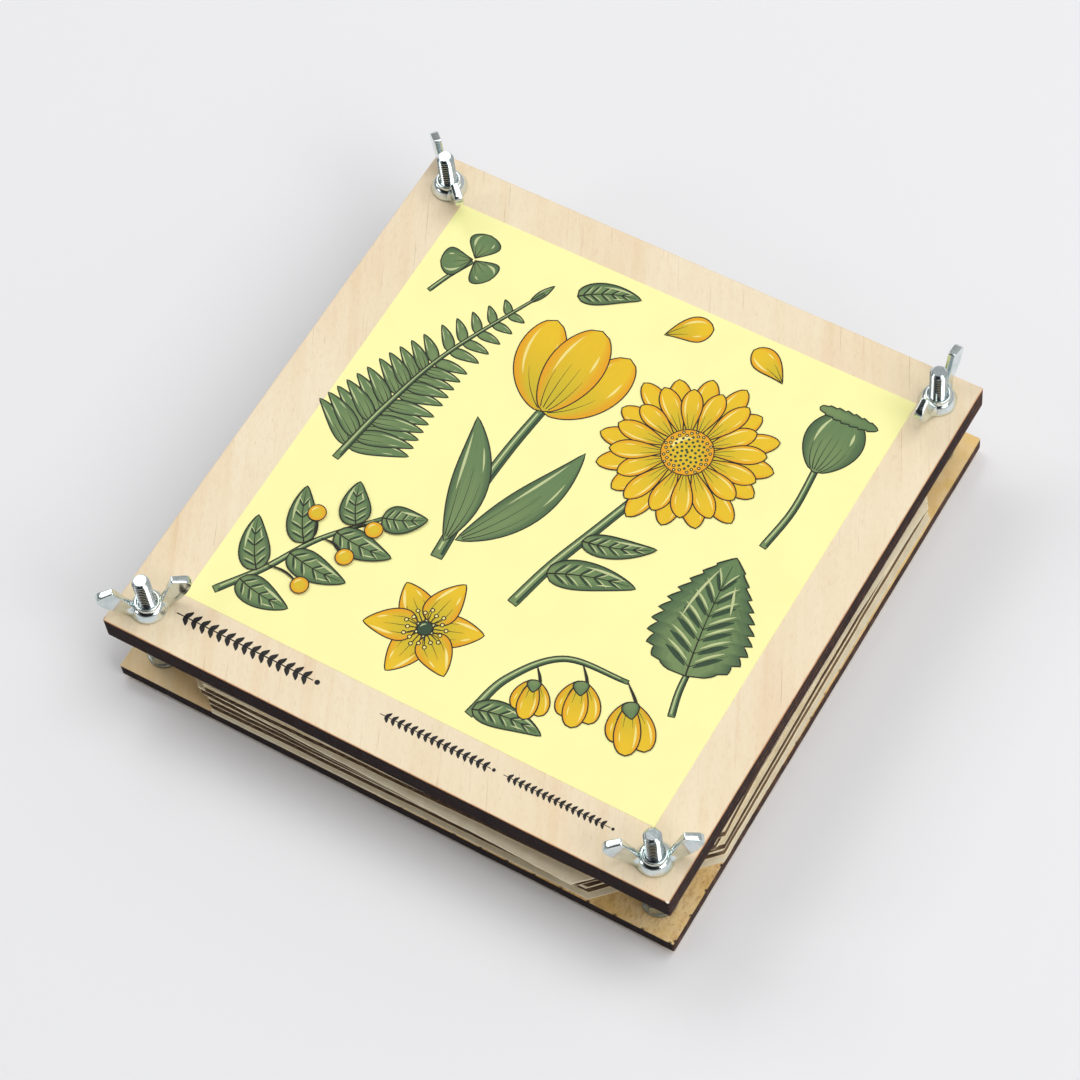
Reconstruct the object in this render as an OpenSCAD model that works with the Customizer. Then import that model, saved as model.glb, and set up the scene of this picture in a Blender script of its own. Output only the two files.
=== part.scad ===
// Flower press: two square boards clamp a pile of card and blotting paper.
// X runs to the right along the front edge, Y to the back and Z up.
// The origin lies under the middle of the press, on the surface that its four bolt heads stand on.

/* [Boards] */
// Side of both square boards
board_w = 200; // [196:1:240]
// Thickness of the pressing board on top
pressing_board_t = 9; // [6:0.5:12]
// Thickness of the base board
base_board_t = 5; // [4.8:0.1:9]
// Rounding of the boards' upright corners
board_corner_r = 0.5; // [0.25:0.25:5]
// Radial play of the bolts in the pressing board
board_bore_play = 0.4; // [0.3:0.05:0.8]

/* [Print] */
// Width of the printed field
print_w = 166.5; // [120:0.5:170]
// Depth of the printed field
print_d = 166; // [120:0.5:168]
// Bare strip to the left of the printed field
print_left_margin = 17.7; // [14:0.1:18]
// Bare strip in front of the printed field
print_front_margin = 19.3; // [14:0.1:20]
// Thickness of the ink
print_t = 0.1; // [0.05:0.05:0.2]
// Least bare ring that the ink leaves round each wing nut
print_seat_play = 0.3; // [0.1:0.1:1]

/* [Coach bolts] */
// Distance of each bolt's axis from the two nearest edges
bolt_inset = 10.5; // [9:0.5:12]
// Diameter over the thread's crests
bolt_d = 5.8; // [5.6:0.1:6]
// Length of the bolt under its head
bolt_len = 50; // [48:1:60]
// Rise of the thread in one turn
thread_pitch = 1; // [0.8:0.1:1.2]
// Depth of the thread
thread_depth = 0.55; // [0.3:0.05:0.6]
// Chamfer of the bolt's end
bolt_end_chamfer = 0.9; // [0.5:0.1:1.2]
// Diameter of the mushroom head
bolt_head_d = 16; // [12:0.5:17]
// Height of the mushroom head
bolt_head_h = 3.3; // [2.6:0.1:4]
// Depth to which the head is drawn into the base board
bolt_head_sink = 1.2; // [0.5:0.1:1.5]
// Diameter of the flat that the head stands on
bolt_crown_flat_d = 5; // [3:0.5:7]
// Width of the square neck under the head
bolt_neck_w = 6; // [5.9:0.1:6.4]
// Height of the square neck
bolt_neck_h = 3.4; // [2.5:0.1:3.5]
// Gap between the base board and the head and neck in it
bolt_seat_play = 0.05; // [0.02:0.01:0.1]

/* [Washers and lock nuts] */
// Outer diameter of the plain washers
washer_d = 11; // [10.5:0.5:13]
// Radial play of the washers on the bolts
washer_play = 0.3; // [0.2:0.05:0.5]
// Thickness of the plain washers
washer_t = 1.6; // [1:0.1:2]
// Width across the flats of the hexagon nuts
lock_nut_w = 10; // [9:0.5:11]
// Height of the hexagon nuts
lock_nut_h = 5; // [3:0.2:6]
// Chamfer round both faces of the hexagon nuts
lock_nut_chamfer = 0.45; // [0.2:0.05:0.6]

/* [Wing nuts] */
// Outer diameter of the hub where it sits on the board
hub_d = 12; // [11:0.5:13]
// Outer diameter of the hub at its shoulder
hub_shoulder_d = 10.2; // [9.8:0.1:10.8]
// Height of the hub's shoulder
hub_shoulder_h = 3; // [2.5:0.1:4]
// Outer diameter of the hub's neck above the shoulder
hub_neck_d = 8.2; // [8:0.1:9]
// Height of the hub's neck above the slope of the shoulder
hub_neck_h = 0.4; // [0.2:0.1:3]
// Countersink at the mouth of the bore
hub_countersink = 0.5; // [0.2:0.1:0.8]
// Radial play of the nuts on the bolts
thread_play = 0.08; // [0.05:0.01:0.1]
// Distance from the axis to each wing's tip
wing_reach = 14.9; // [13.5:0.1:17]
// Radius of each wing's round outer side
wing_ear_r = 5; // [4:0.1:6]
// Height of the middle of the round side above the board
wing_ear_z = 8.8; // [7:0.1:10]
// Distance from the axis to the wing's upper inner corner
wing_corner_x = 8.4; // [7:0.1:9]
// Height of the wing's upper inner corner above the board
wing_corner_z = 13.9; // [12:0.1:15]
// Thickness of the wings
wing_t = 2.7; // [2:0.1:3]
// Height above the board at which the wings leave the hub
wing_root_z = 0.8; // [0.5:0.1:1.5]
// Height above the board of the wings' upper edges over the hub's neck
wing_notch_z = 6; // [5.5:0.1:8]

/* [Pile] */
// Number of sheets of corrugated card
card_count = 5; // [2:1:6]
// Sheets of blotting paper in each gap of the pile
papers_per_gap = 2; // [1:1:3]
// Side of the square that every sheet is cut from
sheet_w = 195.5; // [185:0.5:196]
// Gap between the cut corners of a centred sheet and the washers
sheet_washer_gap = 4.2; // [3.5:0.1:6]
// Thickness of a sheet of blotting paper
paper_t = 0.3; // [0.2:0.05:0.6]
// Thickness of a clamped sheet of card
card_t = 3.5; // [2.5:0.1:4.2]
// Thickness of each of a card's two liners
liner_t = 0.3; // [0.2:0.05:0.5]
// Thickness of the fluting between the liners
fluting_t = 0.3; // [0.2:0.05:0.4]
// Length of one wave of the fluting
flute_pitch = 8; // [6:0.5:10]

/* [Hidden] */
CORNERS = ["front_left", "front_right", "back_right", "back_left"];
CARDS = [for (i = [1:card_count]) str("card_", i)];
PAPERS = [for (i = [1:card_count * papers_per_gap]) str("blotting_sheet_", i)];
function per_corner(kind) = [for (c = CORNERS) str(kind, "_", c)];

// Facets round a full circle
round_fn = 96;

// Heights of the seats, from the table up
base_z = bolt_head_h - bolt_head_sink;
pile_z = base_z + base_board_t;
pile_h = card_count * (card_t + papers_per_gap * paper_t);
pressing_z = pile_z + pile_h;
top_z = pressing_z + pressing_board_t;

// Bolt axes, in the order of CORNERS
bolt_xy = board_w / 2 - bolt_inset;
AXES = [for (s = [[-1, -1], [1, -1], [1, 1], [-1, 1]]) bolt_xy * s];
bolt_r = bolt_d / 2;
neck_top = bolt_head_h + bolt_neck_h;
bolt_top = bolt_head_h + bolt_len;

// Direction of each nut's wings, in degrees from X, in the order of CORNERS
WING_TURNS = [41, 34, 91, 138];

// Height of a wing nut's hub, whose shoulder slopes at 45 degrees up to the neck
hub_slope_top = hub_shoulder_h + (hub_shoulder_d - hub_neck_d) / 2;
hub_h = hub_slope_top + hub_neck_h;

// A cut that has to pass a face runs past it by this much
overrun = 1;
// Depth to which the fluting's crests are glued into the liners
glue_depth = fluting_t / 2;

// Distance between the cuts across two opposite corners of a sheet, which clear the washers
sheet_cut_w = 2 * (sqrt(2) * bolt_xy - washer_d / 2 - sheet_washer_gap);

// Lie of each card and of each pair of papers under it: turn in degrees, then shift along X and Y
// as shares of the gap that the sheets have to the washers
CARD_LIE_SHARES = [
    [0.7, 0.17, -0.15],
    [0.8, 0.17, -0.2],
    [-0.4, 0.17, -0.48],
    [1, 0.17, -0.2],
    [0.5, 0.1, -0.05],
    [-0.3, 0.15, -0.1]
];
PAPER_LIE_SHARES = [
    [0.3, 0.51, -0.51],
    [0.4, 0.2, -0.2],
    [-0.2, 0.15, -0.25],
    [-1.2, 0.31, -0.72],
    [0.8, 0.1, -0.15],
    [0.2, 0.05, -0.1]
];

// A tube along Z
module ring(outer_r, bore_r, h) {
    difference() {
        cylinder(r = outer_r, h = h, $fn = round_fn);
        translate([0, 0, -overrun]) cylinder(r = bore_r, h = h + 2 * overrun, $fn = round_fn);
    }
}

// A square board with rounded upright corners, centred on the Z axis
module blank_board(t) {
    straight = board_w - 2 * board_corner_r;
    union() {
        translate([-board_w / 2, -straight / 2, 0]) cube([board_w, straight, t]);
        translate([-straight / 2, -board_w / 2, 0]) cube([straight, board_w, t]);
        for (x = [-1, 1], y = [-1, 1])
            translate([x * straight / 2, y * straight / 2, 0])
                cylinder(r = board_corner_r, h = t, $fn = round_fn);
    }
}

// The base board, with a seat for each bolt's head and square neck
module base_board() {
    neck_hole = bolt_neck_w + 2 * bolt_seat_play;
    color("burlywood") difference() {
        translate([0, 0, base_z]) blank_board(base_board_t);
        for (a = AXES) translate(a) {
            translate([0, 0, base_z - overrun])
                cylinder(r = bolt_r + board_bore_play, h = base_board_t + 2 * overrun, $fn = round_fn);
            translate([-neck_hole / 2, -neck_hole / 2, base_z - overrun])
                cube([neck_hole, neck_hole, neck_top - base_z + bolt_seat_play + overrun]);
            translate([0, 0, base_z - overrun])
                cylinder(
                    r = bolt_head_d / 2 + bolt_seat_play,
                    h = bolt_head_sink + bolt_seat_play + overrun,
                    $fn = round_fn
                );
        }
    }
}

// The board that presses on the pile
module pressing_board() {
    color("wheat") difference() {
        translate([0, 0, pressing_z]) blank_board(pressing_board_t);
        for (a = AXES) translate([a[0], a[1], pressing_z - overrun])
            cylinder(r = bolt_r + board_bore_play, h = pressing_board_t + 2 * overrun, $fn = round_fn);
    }
}

// The field of ink on the pressing board
module print_field() {
    color("khaki") difference() {
        translate([print_left_margin - board_w / 2, print_front_margin - board_w / 2, top_z])
            cube([print_w, print_d, print_t]);
        for (a = AXES) translate([a[0], a[1], top_z - overrun])
            cylinder(r = hub_d / 2 + print_seat_play, h = print_t + 2 * overrun, $fn = round_fn);
    }
}

// Half the outline of a threaded rod along Z, from the axis outwards, with the end chamfered
module thread_outline(low, high) {
    turns = floor((high - bolt_end_chamfer - low) / thread_pitch);
    start = high - bolt_end_chamfer - turns * thread_pitch;
    root_r = bolt_r - thread_depth;
    crest_h = thread_pitch / 8;
    polygon(concat(
        [[0, low], [bolt_r, low]],
        [for (i = [0:turns - 1], k = [0:2])
            [
                [bolt_r, start + i * thread_pitch],
                [root_r, start + (i + 1 / 2) * thread_pitch - crest_h / 2],
                [bolt_r, start + (i + 1) * thread_pitch - crest_h]
            ][k]
        ],
        [[bolt_r, high - bolt_end_chamfer], [bolt_r - bolt_end_chamfer, high], [0, high]]
    ));
}

// A coach bolt that stands on its mushroom head
module coach_bolt() {
    head_r = bolt_head_d / 2;
    flat_r = bolt_crown_flat_d / 2;
    // The dome meets the head's edge above and the flat of its crown below
    dome_z = (pow(head_r, 2) - pow(flat_r, 2) - pow(bolt_head_h, 2)) / (2 * bolt_head_h);
    dome_r = sqrt(pow(head_r, 2) + pow(dome_z, 2));
    color("silver") union() {
        intersection() {
            translate([0, 0, bolt_head_h + dome_z]) sphere(r = dome_r, $fn = round_fn);
            cylinder(r = head_r, h = bolt_head_h, $fn = round_fn);
        }
        translate([-bolt_neck_w / 2, -bolt_neck_w / 2, bolt_head_h - glue_depth])
            cube([bolt_neck_w, bolt_neck_w, bolt_neck_h + glue_depth]);
        rotate_extrude($fn = round_fn) thread_outline(neck_top - glue_depth, bolt_top);
    }
}

// A plain washer on the base board
module washer() {
    color("gainsboro") translate([0, 0, pile_z]) ring(washer_d / 2, bolt_r + washer_play, washer_t);
}

// A hexagon nut on the washer, chamfered round both faces
module lock_nut() {
    corner_r = lock_nut_w / sqrt(3);
    cone_r = corner_r + overrun;
    rim_r = lock_nut_w / 2 - lock_nut_chamfer;
    rise = (corner_r - rim_r) * tan(30);
    color("silver") translate([0, 0, pile_z + washer_t]) difference() {
        intersection() {
            cylinder(r = corner_r, h = lock_nut_h, $fn = 6);
            rotate_extrude($fn = round_fn) polygon([
                [0, 0],
                [rim_r, 0],
                [cone_r, rise * (cone_r - rim_r) / (corner_r - rim_r)],
                [cone_r, lock_nut_h - rise * (cone_r - rim_r) / (corner_r - rim_r)],
                [rim_r, lock_nut_h],
                [0, lock_nut_h]
            ]);
        }
        translate([0, 0, -overrun])
            cylinder(r = bolt_r + thread_play, h = lock_nut_h + 2 * overrun, $fn = round_fn);
    }
}

// Half the outline of a wing nut's hub, with its bore
module hub_outline() {
    bore_r = bolt_r + thread_play;
    foot = (hub_d - hub_shoulder_d) / 2;
    polygon([
        [bore_r, 0],
        [hub_d / 2 - foot / 3, 0],
        [hub_d / 2, foot / 3],
        [hub_d / 2, foot],
        [hub_shoulder_d / 2, hub_shoulder_h],
        [hub_neck_d / 2, hub_slope_top],
        [hub_neck_d / 2, hub_h],
        [bore_r + hub_countersink, hub_h],
        [bore_r, hub_h - hub_countersink]
    ]);
}

// Outline of one wing, in the plane of both wings
module wing_outline() {
    ear_x = wing_reach - wing_ear_r;
    inner_x = bolt_r + thread_play + (hub_neck_d / 2 - bolt_r) / 2;
    polygon(concat(
        [[inner_x, wing_root_z], [hub_d / 2, wing_root_z]],
        [for (a = [-60:9:75]) [ear_x + wing_ear_r * cos(a), wing_ear_z + wing_ear_r * sin(a)]],
        [[wing_corner_x, wing_corner_z], [hub_neck_d / 2, wing_notch_z], [inner_x, hub_h - hub_countersink]]
    ));
}

// A wing nut on the pressing board
module wing_nut(turn) {
    color("silver") translate([0, 0, top_z]) rotate([0, 0, turn]) union() {
        rotate_extrude($fn = round_fn) hub_outline();
        for (side = [0, 180]) rotate([0, 0, side])
            translate([0, wing_t / 2, 0]) rotate([90, 0, 0]) linear_extrude(wing_t) wing_outline();
    }
}

// The outline that every sheet is cut to: a square with its corners cut off
module sheet_outline() {
    intersection() {
        square(sheet_w, center = true);
        rotate(45) square(sheet_cut_w, center = true);
    }
}

// Cross-section of a card: two liners and the wave of fluting between them
module card_section() {
    waves = ceil(sheet_w / flute_pitch) + 1;
    low = liner_t - glue_depth;
    rise = card_t - 2 * low - fluting_t;
    // One wave has a flat trough and a flat crest, each a sixth of its length
    wave_x_shares = [0, 1 / 6, 1 / 2, 2 / 3];
    wave_z_shares = [0, 0, 1, 1];
    mid = [for (i = [0:waves - 1], k = [0:3])
        [(i - waves / 2 + wave_x_shares[k]) * flute_pitch, low + wave_z_shares[k] * rise]];
    last = len(mid) - 1;
    for (z = [0, card_t - liner_t]) translate([-sheet_w / 2, z]) square([sheet_w, liner_t]);
    polygon(concat(mid, [for (i = [last:-1:0]) mid[i] + [0, fluting_t]]));
}

// Puts a sheet at its height, turned and shifted as it lies in the pile
module lay(z, lie) {
    translate([lie[1] * sheet_washer_gap, lie[2] * sheet_washer_gap, z]) rotate([0, 0, lie[0]]) children();
}

// A corrugated card, its flutes running from front to back
module card(i) {
    z = pile_z + papers_per_gap * paper_t + i * (card_t + papers_per_gap * paper_t);
    color("tan") lay(z, CARD_LIE_SHARES[i]) intersection() {
        translate([0, sheet_w / 2, 0]) rotate([90, 0, 0]) linear_extrude(sheet_w) card_section();
        linear_extrude(card_t) sheet_outline();
    }
}

// A sheet of blotting paper
module blotting_sheet(i) {
    gap = floor(i / papers_per_gap);
    z = pile_z + gap * (card_t + papers_per_gap * paper_t) + (i - gap * papers_per_gap) * paper_t;
    color("oldlace") lay(z, PAPER_LIE_SHARES[gap]) linear_extrude(paper_t) sheet_outline();
}

base_board();
pressing_board();
print_field();
for (i = [0:3]) {
    translate(AXES[i]) coach_bolt();
    translate(AXES[i]) washer();
    translate(AXES[i]) lock_nut();
    translate(AXES[i]) wing_nut(WING_TURNS[i]);
}
for (i = [0:card_count - 1])
    card(i);
for (i = [0:card_count * papers_per_gap - 1])
    blotting_sheet(i);
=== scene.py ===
"""Looks of a flower press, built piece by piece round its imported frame.

Sizes are millimetres in the row frame: X to the right along the front edge, Y to the back and Z up,
with the bolt heads standing at height zero. A mesh turns into metres when it is built.
"""

import logging
import math
from dataclasses import dataclass, field
from enum import Enum
from typing import Callable, Sequence

import bmesh
import bpy
import numpy as np
from mathutils import Matrix, Vector

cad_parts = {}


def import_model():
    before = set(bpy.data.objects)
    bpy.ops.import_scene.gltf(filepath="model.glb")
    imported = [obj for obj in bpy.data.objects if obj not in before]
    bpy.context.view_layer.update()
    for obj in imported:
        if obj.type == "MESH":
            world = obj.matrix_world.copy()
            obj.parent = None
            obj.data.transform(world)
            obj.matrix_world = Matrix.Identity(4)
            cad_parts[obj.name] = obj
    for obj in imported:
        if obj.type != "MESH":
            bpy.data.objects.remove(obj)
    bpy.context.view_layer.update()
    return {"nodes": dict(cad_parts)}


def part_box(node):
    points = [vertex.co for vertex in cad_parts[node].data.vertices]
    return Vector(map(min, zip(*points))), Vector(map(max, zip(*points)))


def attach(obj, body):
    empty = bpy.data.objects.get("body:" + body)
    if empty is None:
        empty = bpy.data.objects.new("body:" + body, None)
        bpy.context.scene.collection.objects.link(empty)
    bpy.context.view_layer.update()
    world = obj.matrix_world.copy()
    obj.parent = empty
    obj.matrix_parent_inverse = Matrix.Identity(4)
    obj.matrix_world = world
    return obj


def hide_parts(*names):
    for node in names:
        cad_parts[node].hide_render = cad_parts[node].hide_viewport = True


MM = 0.001
TAU = 2 * math.pi
LOG = logging.getLogger("flower_press")
CORNERS = ("front_left", "front_right", "back_right", "back_left")

Colour = tuple[float, float, float]
Socket = bpy.types.NodeSocket


def srgb(red: int, green: int, blue: int) -> Colour:
    """A colour given as it looks on a screen, as linear light.

    Args:
        red: Red from 0 to 255.
        green: Green from 0 to 255.
        blue: Blue from 0 to 255.

    Returns:
        The three linear values.
    """
    shares = [value / 255 for value in (red, green, blue)]
    return tuple(s / 12.92 if s <= 0.04045 else ((s + 0.055) / 1.055) ** 2.4 for s in shares)


def ease(low: float, high: float, value: np.ndarray) -> np.ndarray:
    """A smooth step from 0 at low to 1 at high.

    Args:
        low: The value up to which the result is 0.
        high: The value from which the result is 1.
        value: Where the step is taken.

    Returns:
        The steps, in the shape of value.
    """
    share = np.clip((np.asarray(value, float) - low) / (high - low), 0, 1)
    return share * share * (3 - 2 * share)


class Wobble:
    """A smooth uneven line, the same at each run, for edges that were cut by hand."""

    def __init__(self, seed: int, reach: float, wavelengths: Sequence[float]) -> None:
        """Args:
            seed: Number that picks the line.
            reach: Largest offset, in millimetres.
            wavelengths: Lengths of its waves, in millimetres, the strongest first.
        """
        draw = np.random.default_rng(seed)
        self.lengths = np.array(wavelengths, float)
        self.phases = draw.uniform(0, TAU, len(wavelengths))
        self.sizes = draw.uniform(0.6, 1, len(wavelengths)) / np.arange(1, len(wavelengths) + 1)
        self.sizes *= reach / self.sizes.sum()

    def at(self, place: np.ndarray) -> np.ndarray:
        """Args:
            place: Distances along the line, in millimetres.

        Returns:
            The offset at each place, in millimetres.
        """
        turns = np.asarray(place, float)[..., None] / self.lengths * TAU + self.phases
        return (np.sin(turns) * self.sizes).sum(-1)


class MeshDraft:
    """Points and faces of one piece, in millimetres, before they become an object."""

    def __init__(self) -> None:
        """An empty draft."""
        self.points: list[np.ndarray] = []
        self.faces: list[tuple[int, ...]] = []
        self.slots: list[int] = []
        self.along: list[np.ndarray] = []
        self.across: list[np.ndarray] = []
        self.count = 0

    def add_points(self, points: np.ndarray, along: object = 0.0, across: object = 0.0) -> int:
        """Adds loose points.

        Args:
            points: One row of X, Y and Z for each point.
            along: Place along a drawn shape, from 0 to 1, for the inks.
            across: Place across a drawn shape, from -1 to 1, for the inks.

        Returns:
            The number of the first point added.
        """
        flat = np.asarray(points, float).reshape(-1, 3)
        start = self.count
        self.points.append(flat)
        self.along.append(np.broadcast_to(np.asarray(along, float).ravel(), (len(flat),)))
        self.across.append(np.broadcast_to(np.asarray(across, float).ravel(), (len(flat),)))
        self.count += len(flat)
        return start

    def add_face(self, corners: Sequence[int], slot: int = 0) -> None:
        """Adds one face by the numbers of its corners, seen anticlockwise from outside."""
        self.faces.append(tuple(int(corner) for corner in corners))
        self.slots.append(slot)

    def add_grid(
        self,
        points: np.ndarray,
        slot: int = 0,
        wrap_rows: bool = False,
        wrap_columns: bool = False,
        flip: bool = False,
        along: object = 0.0,
        across: object = 0.0,
    ) -> int:
        """Adds a net of four-sided faces.

        Args:
            points: Rows by columns of points.
            slot: Material slot of the faces.
            wrap_rows: Whether the last row joins the first.
            wrap_columns: Whether the last column joins the first.
            flip: Whether the faces look the other way.
            along: Place along a drawn shape, for the inks.
            across: Place across a drawn shape, for the inks.

        Returns:
            The number of the first point added.
        """
        rows, columns = points.shape[:2]
        start = self.add_points(points, along, across)
        row, column = np.meshgrid(
            np.arange(rows if wrap_rows else rows - 1),
            np.arange(columns if wrap_columns else columns - 1),
            indexing="ij",
        )
        next_row = (row + 1) % rows
        next_column = (column + 1) % columns
        corners = [row * columns + column, next_row * columns + column,
                   next_row * columns + next_column, row * columns + next_column]
        if flip:
            corners.reverse()
        quads = np.stack([corner.ravel() for corner in corners], -1) + start
        self.faces.extend(map(tuple, quads.tolist()))
        self.slots.extend([slot] * len(quads))
        return start

    def build(
        self, name: str, materials: Sequence[bpy.types.Material], sharp_degrees: float = 35.0
    ) -> bpy.types.Object:
        """Makes the object, with its points merged where they meet.

        Args:
            name: Name of the piece.
            materials: Its materials, in the order of the slots.
            sharp_degrees: Angle between two faces from which their edge stays crisp.

        Returns:
            The new object, linked to the scene.
        """
        mesh = bpy.data.meshes.new(name)
        mesh.from_pydata((np.concatenate(self.points) * MM).tolist(), [], self.faces)
        mesh.polygons.foreach_set("material_index", self.slots)
        for mark, values in (("along", self.along), ("across", self.across)):
            layer = mesh.attributes.new(mark, "FLOAT", "POINT")
            layer.data.foreach_set("value", np.concatenate(values))
        work = bmesh.new()
        work.from_mesh(mesh)
        bmesh.ops.remove_doubles(work, verts=work.verts, dist=MERGE_REACH * MM)
        bmesh.ops.dissolve_degenerate(work, edges=work.edges, dist=MERGE_REACH * MM)
        work.to_mesh(mesh)
        work.free()
        mesh.shade_smooth()
        mesh.set_sharp_from_angle(angle=math.radians(sharp_degrees))
        for material in materials:
            mesh.materials.append(material)
        made = bpy.data.objects.new(name, mesh)
        bpy.context.scene.collection.objects.link(made)
        return made


# Points closer than this are one point
MERGE_REACH = 0.0005


def lathe(outline: Sequence[tuple[float, float]], steps: int) -> np.ndarray:
    """Turns an outline round the Z axis.

    Args:
        outline: Radius and height of each point.
        steps: Number of steps in the full turn.

    Returns:
        Steps by points of X, Y and Z.
    """
    profile = np.array(outline, float)
    angles = np.arange(steps) / steps * TAU
    radii = profile[None, :, 0]
    heights = np.broadcast_to(profile[None, :, 1], (steps, len(profile)))
    return np.stack([radii * np.cos(angles)[:, None], radii * np.sin(angles)[:, None], heights], -1)


class Wiring:
    """Adds nodes to a shader's tree and links them."""

    def __init__(self, tree: bpy.types.NodeTree) -> None:
        """Args:
            tree: The tree that gets the nodes.
        """
        self.tree = tree

    def node(
        self, kind: str, inputs: dict[object, object] | None = None, **settings: object
    ) -> bpy.types.Node:
        """Adds one node.

        Args:
            kind: Blender's name of the node type.
            inputs: Value or socket for each input, by the input's name or number.
            **settings: The node's own settings.

        Returns:
            The new node.
        """
        made = self.tree.nodes.new(kind)
        for key, value in settings.items():
            setattr(made, key, value)
        for key, value in (inputs or {}).items():
            self.feed(made.inputs[key], value)
        return made

    def feed(self, socket: Socket, value: object) -> None:
        """Links or sets one input, with a colour's alpha filled in."""
        if isinstance(value, Socket):
            self.tree.links.new(value, socket)
        elif socket.type == "RGBA" and len(value) == 3:
            socket.default_value = (*value, 1)
        else:
            socket.default_value = value

    def calc(self, operation: str, first: object, second: object = 0.0, clamp: bool = False) -> Socket:
        """One step of arithmetic on numbers, and its result's socket."""
        made = self.node("ShaderNodeMath", {0: first, 1: second}, operation=operation, use_clamp=clamp)
        return made.outputs[0]

    def plus(self, first: object, second: object) -> Socket:
        """The sum of two numbers."""
        return self.calc("ADD", first, second)

    def minus(self, first: object, second: object) -> Socket:
        """One number less another."""
        return self.calc("SUBTRACT", first, second)

    def times(self, first: object, second: object, clamp: bool = False) -> Socket:
        """One number times another."""
        return self.calc("MULTIPLY", first, second, clamp)

    def over(self, first: object, second: object) -> Socket:
        """One number divided by another."""
        return self.calc("DIVIDE", first, second)

    def stretch(self, vector: object, scale: tuple[float, float, float]) -> Socket:
        """A vector times a scale for each axis."""
        return self.node("ShaderNodeVectorMath", {0: vector, 1: scale}, operation="MULTIPLY").outputs[0]

    def noise(
        self, vector: object, scale: tuple[float, float, float], detail: float = 2.0, roughness: float = 0.5
    ) -> Socket:
        """Noise at a vector that is stretched by a scale for each axis.

        Args:
            vector: Socket of the place.
            scale: Waves to the metre along each axis.
            detail: Number of finer layers.
            roughness: How strongly they tell.

        Returns:
            Socket of the noise, from 0 to 1.
        """
        inputs = {"Vector": self.stretch(vector, scale), "Scale": 1.0, "Detail": detail,
                  "Roughness": roughness}
        return self.node("ShaderNodeTexNoise", inputs).outputs["Fac"]

    def step(
        self, value: object, low: float, high: float, to_low: float = 0.0, to_high: float = 1.0
    ) -> Socket:
        """A smooth step from to_low at low to to_high at high."""
        inputs = {"Value": value, "From Min": low, "From Max": high, "To Min": to_low, "To Max": to_high}
        return self.node("ShaderNodeMapRange", inputs, interpolation_type="SMOOTHSTEP").outputs[0]

    def mix(self, share: object, first: object, second: object, blend: str = "MIX") -> Socket:
        """A blend of two colours."""
        made = self.node("ShaderNodeMix", {0: share, 6: first, 7: second}, data_type="RGBA", blend_type=blend)
        return made.outputs[2]

    def parts(self, vector: object) -> Sequence[Socket]:
        """The three numbers of a vector."""
        return self.node("ShaderNodeSeparateXYZ", {0: vector}).outputs


class Effect(Enum):
    """Surface effects that several materials share."""

    GRAIN = "wood_grain"
    SCORCH = "edge_scorch"
    FIBRE = "paper_fibre"
    PLATING = "zinc_plating"
    INK = "ink_film"
    CORNER_HIGHLIGHT = "painted_corner_highlight"


# What an effect puts out: a whole skin, or only a mask
SKIN_OUTPUTS = {"Color": "NodeSocketColor", "Roughness": "NodeSocketFloat", "Height": "NodeSocketFloat"}
MASK_OUTPUTS = {"Mask": "NodeSocketFloat"}


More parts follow.
